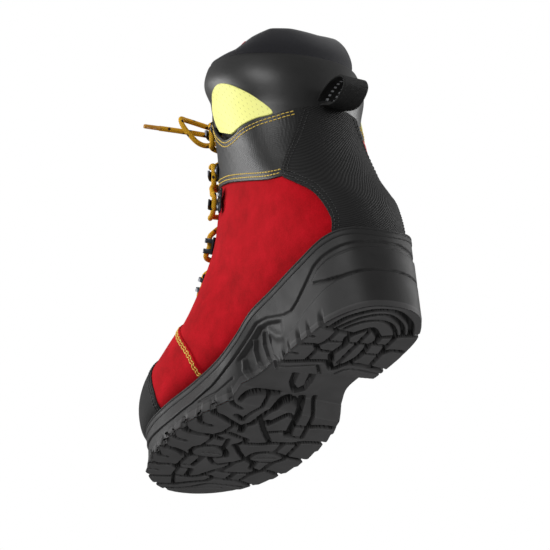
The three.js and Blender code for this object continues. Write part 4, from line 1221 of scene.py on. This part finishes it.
# Each kind's shells, in its own frame: towards the throat, up the facing, and out.
FITTINGS = {
    "loop": [plate(LOOP_PLATE, 0.3, 1.5), bent_strip(LOOP_ARCH, 1.15, 3.3, -3.9),
             bent_strip(LOOP_ARCH, 1.15, 3.3, 3.9),
             turned_part(0, 0, [(1.7, 1.2), (1.7, 1.7), (1.2, 2.0), (0.02, 2.1)], 14)],
    "hook": [hook_strip, plate(round_plate(-6.4, 5.3), 0.3, 1.55), rivet(-6.4, 0, 3.3, 1.8)],
    "lock_hook": [hook_strip, plate(eight(-13, 4.6, 4.9), 0.3, 1.55), rivet(-13, -4.6, 3.5, 2.0),
                  rivet(-13, 4.6, 3.5, 2.0), plate(LOCK_NECK, 0.35, 1.5)],
}
# Rows from the toe up: section, kind, lift off the leather. Offsets are from the throat's edge.
ROWS = [(4.55, "loop", 2), (5.5, "loop", 1.6), (6.8, "loop", 0.6), (8.8, "lock_hook", 0.8),
        (10.2, "hook", 0.9), (12.6, "hook", 0.6)]
ROW_OFFSET = {"loop": 7, "lock_hook": 13, "hook": 7}
FITTING_BEVEL = 0.22


def hook_place(v, kind, side, lift):
    return facing_frame(v, np.interp(v, THROAT_V, THROAT_HALF) + ROW_OFFSET[kind], side, lift)


for side_name, side in SIDES.items():
    for i, (v, kind, lift) in enumerate(ROWS):
        parts = [(framed(p, hook_place(v, kind, side, lift)), f) for p, f in FITTINGS[kind]]
        piece = solid(f"{kind}_{side_name}_{i + 1}_metal", parts, "black_nickel", FITTING_BEVEL)
        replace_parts(piece, f"lace_{kind}_{side_name}_{i + 1}")

LACE_R = 2.0
LACE_STEP = 0.5
LACE_SIDES = 18
KNOT = np.array([3.0, 174.0, 243.0])


def lace_tube(line, hint, radius=LACE_R, flat=0.9, ends=True):
    """A braided cord along close places, squeezed along hint. Returns points, faces and (turn, length)."""
    line = resample(line, LACE_STEP)
    along = unit(np.gradient(line, axis=0))
    hint = np.asarray(hint, float)
    n = unit(hint - along * (along @ hint)[:, None])
    b = np.cross(along, n)
    share = np.arange(LACE_SIDES + 1) / LACE_SIDES
    turn = share * TAU - math.pi / 2
    size = np.full(len(line), radius)
    if ends:
        size[0] = size[-1] = radius * 0.6
    ring = b[:, None] * np.cos(turn)[None, :, None] + n[:, None] * np.sin(turn)[None, :, None] * flat
    points = line[:, None] + ring * size[:, None, None]
    faces = open_faces(len(line), LACE_SIDES + 1)
    faces.append(list(range(LACE_SIDES))[::-1])
    faces.append([(len(line) - 1) * (LACE_SIDES + 1) + j for j in range(LACE_SIDES)])
    uv = np.stack(np.broadcast_arrays(share, np.arange(len(line))[:, None] * LACE_STEP), -1)
    return points.reshape(-1, 3), faces, uv.reshape(-1, 2)


def lace_piece(name, tubes, node):
    points, faces = joined([t[:2] for t in tubes])
    obj = new_mesh(name, points, faces, "lace_cord", np.concatenate([t[2] for t in tubes]))
    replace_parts(obj, node)
    return obj


# The lace's way past a fitting, in the fitting's frame, and its lift there.
LOOP_WAY = [[0.4, -9.5, 0], [0, 0, 0], [0.4, 9.5, 0]]
HOOK_WAY = [[8.4, -9.2, 0.6], [1.4, -7.4, 0], [-0.1, 0, -0.3], [1.4, 7.4, 0], [8.4, 9.2, 0.6]]
LACE_LIFT, FACING_LIFT = 4.1, 4.8
UNDER_LIFT, OVER_LIFT = 4.9, 7.7
bottom = front(4.1, 0.01, 1, 3.9)


def strand(start):
    """One run of the lace, up the boot from the lowest crossing to the knot."""
    points, side = [bottom], start
    cross_lift = UNDER_LIFT if start > 0 else OVER_LIFT
    for i, (v, kind, lift) in enumerate(ROWS):
        way = np.add(LOOP_WAY if kind == "loop" else HOOK_WAY, (0, 0, LACE_LIFT))
        around = list(framed(way, hook_place(v, kind, side, lift)))
        if kind == "lock_hook":
            before, after = (front(v + dv, np.interp(v, THROAT_V, THROAT_HALF) + 2, side, FACING_LIFT)
                             for dv in (-0.85, 0.62))
            around = [before, *around, after]
        points += around
        if i + 1 < len(ROWS):
            points.append(front((v + ROWS[i + 1][0]) / 2, 0.01, 1, cross_lift))
        side = -side
    points.append(KNOT + (start * -1.5, 0, 0))
    return through(points, 10)


# The knot's wraps, from KNOT.
KNOT_WRAPS = [
    [(-1, -2.5, -6), (-2.2, 1.8, -4), (-2.4, 4.4, 0), (-1.6, 2.6, 4.4), (0, -2, 5.4)],
    [(3.4, -2.5, -5), (2.2, 2.2, -3.6), (1.8, 4.6, 0.4), (2.2, 2.4, 4.6), (2.6, -2, 5.6)],
    [(-6.6, -1, -1), (-5, 2, 0.6), (0, 1, 1), (5, 2, -0.4), (7, -0.5, -1)],
    [(-5.4, -2, 3), (-4, 0.6, 2.6), (1, -0.5, 2), (5, 0.4, 2.8), (6.4, -2, 3)],
]
LOWEST = [(-7, -1.5, -0.6), (-3, 0.2, 0), (3, 0.2, 0), (7, -1.5, -0.6)]
HINT = (0, 0.8, 0.6)
runs = [strand(1), strand(-1), through(bottom + LOWEST, 8)]
knot = [lace_tube(through(KNOT + wrap, 8), (0.3, 0.9, 0.2), 2.05) for wrap in KNOT_WRAPS]
lace_piece("lace_strands", [lace_tube(run, HINT) for run in runs] + knot, "lace")

CORDS = {
    "bow_loop_left": [(7, 174.6, 243.6), (10.6, 175, 244.5), (18, 178, 248), (30, 180, 251), (41, 180, 252),
                      (46.5, 178, 250.5), (46.5, 176.5, 244), (41.5, 176, 236.5), (35, 176, 231),
                      (27, 176.5, 230.5), (17, 176, 235), (10, 174.6, 239.3), (6.5, 174.2, 241)],
    "bow_loop_right": [(-1, 175, 244), (-4.4, 176, 244.5), (-12, 180, 247), (-23, 182, 246), (-33, 180, 241),
                       (-39, 177, 233), (-40.5, 175, 225), (-36, 174, 219), (-28, 175, 219.5),
                       (-20, 177, 226), (-11, 176.5, 235), (-4.6, 175, 239.3), (-1, 174.4, 241.2)],
    "lace_end_left": [(7, 176.4, 241.2), (10.8, 177.6, 241.5), (20, 181, 243.5), (33, 185, 245.5),
                      (46, 188.5, 246.8), (58, 191, 247.4)],
    "lace_end_right": [(-1.4, 177.6, 239.6), (-4.2, 179.2, 237.6), (-9, 184, 233), (-15, 186, 227),
                       (-20, 187, 215), (-24, 188.5, 202), (-28, 190.5, 188)],
}
# An aglet's rings: how far along from the cord's end, and radius.
AGLET_STEPS = np.array([-0.8, 0.1, 0.3, 6, 12, 12.4, 12.5])
AGLET_RADII = np.array([1.9, 2.0, 1.75, 1.7, 1.62, 1.4, 0.6])
CORD_HINT = (0.1, 1, 0.3)


def aglet_on(path, node):
    along = unit(path[-1] - path[-2])
    n = len(AGLET_STEPS)
    rings = tube_rings(path[-1] + along * AGLET_STEPS[:, None], np.tile(CORD_HINT, (n, 1)),
                       np.tile(AGLET_RADII[:, None], LACE_SIDES), LACE_SIDES)
    tip = new_mesh(f"{node}_tip", rings.reshape(-1, 3), ring_faces(n, LACE_SIDES), "clear_tip")
    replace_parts(tip, node)
    return tip


for name, route in CORDS.items():
    line = through(route, 10)
    cord = lace_piece(f"{name}_cord", [lace_tube(line, CORD_HINT, ends=False)], name)
    path = resample(line, 1.0)
    length = float(np.linalg.norm(np.diff(path, axis=0), axis=1).sum()) * MM
    others = [aglet_on(path, name.replace("lace_end", "aglet"))] if name.startswith("lace_end") else []
    place(path[0]).tolist()
    place(path).tolist()


# ---------------------------------------------------------------- tongue and its flap
def sheet_grid(name, rows, thick, material):
    """A closed sheet between rows of outer places and the same rows moved inward."""
    outer = np.asarray(rows, float)
    n_row, n_col = outer.shape[:2]
    n = unit(np.cross(np.gradient(outer, axis=1), np.gradient(outer, axis=0)))
    n = -n if n[..., 1].mean() < 0 else n
    inner = outer - n * thick
    count = n_row * n_col
    faces = open_faces(n_row, n_col)
    faces += [[count + k for k in reversed(face)] for face in faces]
    rim = [i * n_col for i in range(n_row)]
    rim += [(n_row - 1) * n_col + j for j in range(1, n_col)]
    rim += [i * n_col + n_col - 1 for i in range(n_row - 2, -1, -1)]
    rim += range(n_col - 2, 0, -1)
    faces += [[a, b, b + count, a + count] for a, b in zip(rim, rim[1:] + rim[:1])]
    obj = new_mesh(name, np.concatenate([outer, inner]).reshape(-1, 3), faces, material, body=None)
    face_outward(obj)
    return obj


TONGUE_LIFT = -8.6
fold_low = place(front(12.2, 0.01, 1, -9)).tolist()
fold_high = place(front(13.8, 0.01, 1, -9)).tolist()


def tongue_rows(v0, v1, half, steps, across, rise, puff):
    """Rows of the tongue's outer face. Past the last section it rises and leans back by rise."""
    rows = []
    for v in np.linspace(v0, v1, steps):
        past = max(v - TOP_V, 0)
        row = []
        for s in np.linspace(-1, 1, across):
            x = half(v) * s
            p = front(min(v, TOP_V), max(abs(x), 0.01), -1 if x < 0 else 1, TONGUE_LIFT)
            row.append(p + (0, puff(v, s) - past * rise * 0.55, past * rise))
        rows.append(row)
    return rows


def tongue_half(v):
    return min(16 + (v - 4.3) * 4, 33)


def tongue_puff(v, s):
    ribs = 0.5 - 0.5 * math.cos(v * TAU / 1.15)
    edge = 1 - abs(s) ** 4
    return (1.6 * ribs ** 0.6 + 0.8) * edge


def flap_half(v):
    base = np.interp(v, THROAT_V, THROAT_HALF) - 5
    return base * (1 - 0.5 * max((v - 16.2) / 0.8, 0) ** 2.4)


def flap_puff(v, s):
    return 0.5 * (1 - s * s)


pad_rows = tongue_rows(4.4, 12.8, tongue_half, 90, 25, 0, tongue_puff)
flap_rows = tongue_rows(13.18, 17, flap_half, 56, 23, 26, flap_puff)
tongue = sheet_grid("tongue_pad", pad_rows, 4.4, "black_textile")
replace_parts(tongue, "tongue")
flap = sheet_grid("tongue_flap_top", flap_rows, 3.2, "red_suede")
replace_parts(flap, "tongue_flap")
for piece in (tongue, flap):
    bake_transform(piece)

# ---------------------------------------------------------------- collar padding, filled by a cloth run
PAD_LOW, PAD_OUTER_TOP, PAD_INNER_TOP = 13.7, 15.8, 15.5
OUTER_LIFT, INNER_LIFT = -2.6, -12.5
PAD_ROWS, PAD_COLUMNS = 10, 112
# How high the padding's roll stands, by turn from the back.
ROLL_TURN = [0, 0.4, 0.7, 1.0, 1.3, 1.7, 3.2]
ROLL_SCALE = [1.4, 1.5, 1.42, 1.0, 0.42, 0.2, 0.15]
# The roll's section: share of the way inward, and rise.
PAD_ROLL = [(0, 0), (-0.14, 3.5), (-0.2, 7), (-0.12, 10.5), (0.02, 14), (0.2, 16.6), (0.4, 18), (0.6, 18),
            (0.8, 16), (0.95, 12), (1.02, 7), (1.0, 2), (1.0, -3)]
CLOTH_FRAMES = 20
MOST_MOVE = 0.004

throat_half = np.interp(PAD_INNER_TOP, THROAT_V, THROAT_HALF) + 2.5
pad_end = math.pi - math.asin(min(throat_half / 47.0, 1)) * 0.62
turns = np.linspace(-pad_end, pad_end, PAD_COLUMNS)


def pad_ring(v, lift):
    return raised(np.full(PAD_COLUMNS, v), turns, lift)


def rolled_ring(share, lift):
    rise = lift * np.interp(np.abs(turns), ROLL_TURN, ROLL_SCALE)
    outer, inner = (pad_ring(TOP_V - 0.02, side_lift) for side_lift in (OUTER_LIFT, INNER_LIFT))
    return outer * (1 - share) + inner * share + np.array([0, 0, 1.0]) * rise[:, None]


rings = [pad_ring(v, OUTER_LIFT) for v in np.linspace(PAD_LOW, PAD_OUTER_TOP, PAD_ROWS)]
rings += [rolled_ring(share, lift) for share, lift in PAD_ROLL]
rings += [pad_ring(v, INNER_LIFT) for v in np.linspace(PAD_INNER_TOP, PAD_LOW, PAD_ROWS)]
n_ring, n_turn = len(rings), PAD_COLUMNS
points = np.concatenate(rings)
faces = open_faces(n_ring, n_turn)
for j in range(n_turn - 1):
    a, b = j, (n_ring - 1) * n_turn + j
    faces.append([b, b + 1, a + 1, a])
for j in (0, n_turn - 1):
    for k in range(n_ring // 2):
        a, b = k * n_turn + j, (k + 1) * n_turn + j
        c, d = (n_ring - 1 - k) * n_turn + j, (n_ring - 2 - k) * n_turn + j
        quad = list(dict.fromkeys([a, b, d, c] if j == 0 else [c, d, b, a]))
        if len(quad) > 2:
            faces.append(quad)
pad = new_mesh("collar_pad", points, faces, "black_textile", body=None)
face_outward(pad)
group = pad.vertex_groups.new(name="sewn")
sewn = [k for k in range(len(points))
        if k // n_turn < PAD_ROWS - 1 or k // n_turn > n_ring - 6 or k % n_turn in (0, n_turn - 1)]
group.add(sewn, 1.0, "REPLACE")
cloth = pad.modifiers.new("cloth", "CLOTH")
settings = cloth.settings
settings.quality, settings.mass = 8, 0.2
settings.tension_stiffness = settings.compression_stiffness = 18
settings.shear_stiffness, settings.bending_stiffness = 8, 0.6
settings.use_pressure, settings.uniform_pressure_force = True, 4.0
settings.effector_weights.gravity = 0
settings.vertex_group_mass = "sewn"
cloth.collision_settings.use_collision = False
cloth.point_cache.frame_start, cloth.point_cache.frame_end = 1, CLOTH_FRAMES
before = np.array([v.co for v in pad.data.vertices])
for frame_number in range(1, CLOTH_FRAMES + 1):
    bpy.context.scene.frame_set(frame_number)
ready = pad.evaluated_get(bpy.context.evaluated_depsgraph_get())
moved = np.array([v.co for v in ready.data.vertices]) - before
pad.modifiers.clear()
far = np.linalg.norm(moved, axis=1, keepdims=True)
moved *= np.minimum(1, MOST_MOVE / np.maximum(far, 1e-9))
pad.data.vertices.foreach_set("co", (before + moved).astype(np.float32).ravel())
pad.vertex_groups.clear()
bpy.context.scene.frame_set(1)
smoother = pad.modifiers.new("subdivision", "SUBSURF")
smoother.levels = smoother.render_levels = 1
pad.data.shade_smooth()
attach(pad, "boot")
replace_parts(pad, "collar_padding")

# ---------------------------------------------------------------- pull loop and label
LOOP_PATH = [(50, 196), (45, 199.5), (40.5, 201), (35, 202.3), (28, 203), (19.5, 201.5), (14, 197.5),
             (13, 192), (17.5, 187.5), (26, 184.5), (34, 186), (40.5, 189.5), (46, 192)]
STRAP_FROM, STRAP_TO, STRAP_HALF, STRAP_EDGE = -7, 14, 0.8, 0.35
STRAP_STEP = 0.8
DASH_PITCH, DASH_STEP, DASH_HALF, DASH_LIFT = 4.2, 0.55, 1.1, 1.02
line = resample(through(LOOP_PATH, 10), STRAP_STEP)
along = unit(np.gradient(line, axis=0))
aside = np.stack([along[:, 1], -along[:, 0]], -1)
length = np.arange(len(line)) * STRAP_STEP
inner_xs = np.linspace(STRAP_FROM, STRAP_TO, 15)[1:-1]
face = [(STRAP_FROM, STRAP_EDGE)] + [(x, STRAP_HALF) for x in (STRAP_FROM + 0.5, *inner_xs, STRAP_TO - 0.5)]
face.append((STRAP_TO, STRAP_EDGE))
section = face + [(x, -h) for x, h in reversed(face)]
rings = np.array([[[x, *(p + d * h)] for x, h in section] for p, d in zip(line, aside)])
uvs = np.array([[[x, s] for x, h in section] for s in length])
strap = new_mesh("pull_loop_strap", rings.reshape(-1, 3), ring_faces(len(rings), len(section)), "webbing",
                 uvs.reshape(-1, 2), body=None)
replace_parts(strap, "pull_loop")


def on_strap(table, s):
    return np.array([np.interp(s, length, table[:, k]) for k in (0, 1)])


dashes = []
for x0 in (0.4, 6.6):
    for s in np.arange(5, length[-1] - 5, DASH_PITCH):
        patch = []
        for k in range(5):
            q = s + (k - 2) * DASH_STEP
            rise = DASH_LIFT if 0 < k < 4 else 0.7
            across = ((-DASH_HALF, 0.7), (-0.9, rise), (0.9, rise), (DASH_HALF, 0.7))
            patch += [[x0 + dx, *(on_strap(line, q) - on_strap(aside, q) * h)] for dx, h in across]
        dashes.append((np.array(patch), open_faces(5, 4)))
dash = new_mesh("pull_loop_dashes", *joined(dashes), "reflective", body=None, slot="webbing")
swing_start, swing_end = (place((3, a, 195)).tolist() for a in (43, 33))
for piece in (strap, dash):
    face_outward(piece)
    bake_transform(piece)
    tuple(swing_start)
    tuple(swing_end)

label = region([[52, 158], [60, 156], [63, 174], [55, 176]], -1)
panel("side_label_tab", label, 1.9, "red_label", (10.4, 14.4), HALF_TURNS[-1], 1.4, "side_label", edge=0.3)

# ---------------------------------------------------------------- the parts inside keep the CAD's shapes
KEPT_NODES = {
    "insole_board": "board", "steel_shank": "steel", "footbed": "foam_bed", "safety_toe_cap": "steel",
    "heel_stiffener": "stiffener", "lining": "lining_textile",
}
for node_name, material in KEPT_NODES.items():
    node = bpy.data.objects[node_name]
    node.data.materials.clear()
    node.data.materials.append(MATERIALS[material])


# ---------------------------------------------------------------- light and floor
def light(name, right, up, back, size, watts):
    data = bpy.data.lights.new(name, "AREA")
    data.size, data.energy = size, watts
    lamp = bpy.data.objects.new(name, data)
    bpy.context.scene.collection.objects.link(lamp)
    place_at = PIVOT + RIGHT * right + UP * up + BACK * back
    aim = (place_at - PIVOT).normalized()
    lamp.matrix_world = Matrix.Translation(place_at) @ aim.to_track_quat("Z", "Y").to_matrix().to_4x4()


# Places in metres from PIVOT: right, up and back towards the camera, then size and watts.
light("key", -0.9, 1.2, 0.7, 0.8, 15)
light("fill", 1.3, 0.3, 0.8, 0.8, 6)
light("low", 0.3, -1.3, 0.7, 0.8, 11)
light("rim_left", -1.3, 0.1, -0.5, 0.6, 12)
light("rim_right", 1.3, 0.4, -0.6, 0.6, 12)

world = bpy.data.worlds.new("white")
bpy.context.scene.world = world
world.use_nodes = True
sky = world.node_tree
rays = sky.nodes.new("ShaderNodeLightPath")
level = sky.nodes.new("ShaderNodeMapRange")
level.inputs["To Min"].default_value, level.inputs["To Max"].default_value = 0.25, 1.0
sky.links.new(rays.outputs["Is Camera Ray"], level.inputs["Value"])
sky.links.new(level.outputs["Result"], sky.nodes["Background"].inputs["Strength"])
sky.nodes["Background"].inputs["Color"].default_value = (1, 1, 1, 1)

floor_shader = Shader("floor")
floor_shader.surface(Roughness=0.9, Specular_IOR_Level=0.1)
floor_shader.bsdf.inputs["Base Color"].default_value = (0.95, 0.95, 0.95, 1)
facing = floor_shader.node("ShaderNodeNewGeometry")
clear = floor_shader.node("ShaderNodeBsdfTransparent")
either = floor_shader.node("ShaderNodeMixShader")
floor_shader.join(facing, "Backfacing", either, "Fac")
floor_shader.tree.links.new(floor_shader.bsdf.outputs["BSDF"], either.inputs[1])
floor_shader.tree.links.new(clear.outputs["BSDF"], either.inputs[2])
floor_shader.join(either, "Shader", floor_shader.out, "Surface")
bpy.ops.mesh.primitive_plane_add(size=12)
floor = bpy.context.object
floor.name = "floor"
floor.data.materials.append(floor_shader.material)
for ray in ("diffuse", "glossy", "transmission", "shadow", "volume_scatter"):
    setattr(floor, f"visible_{ray}", False)
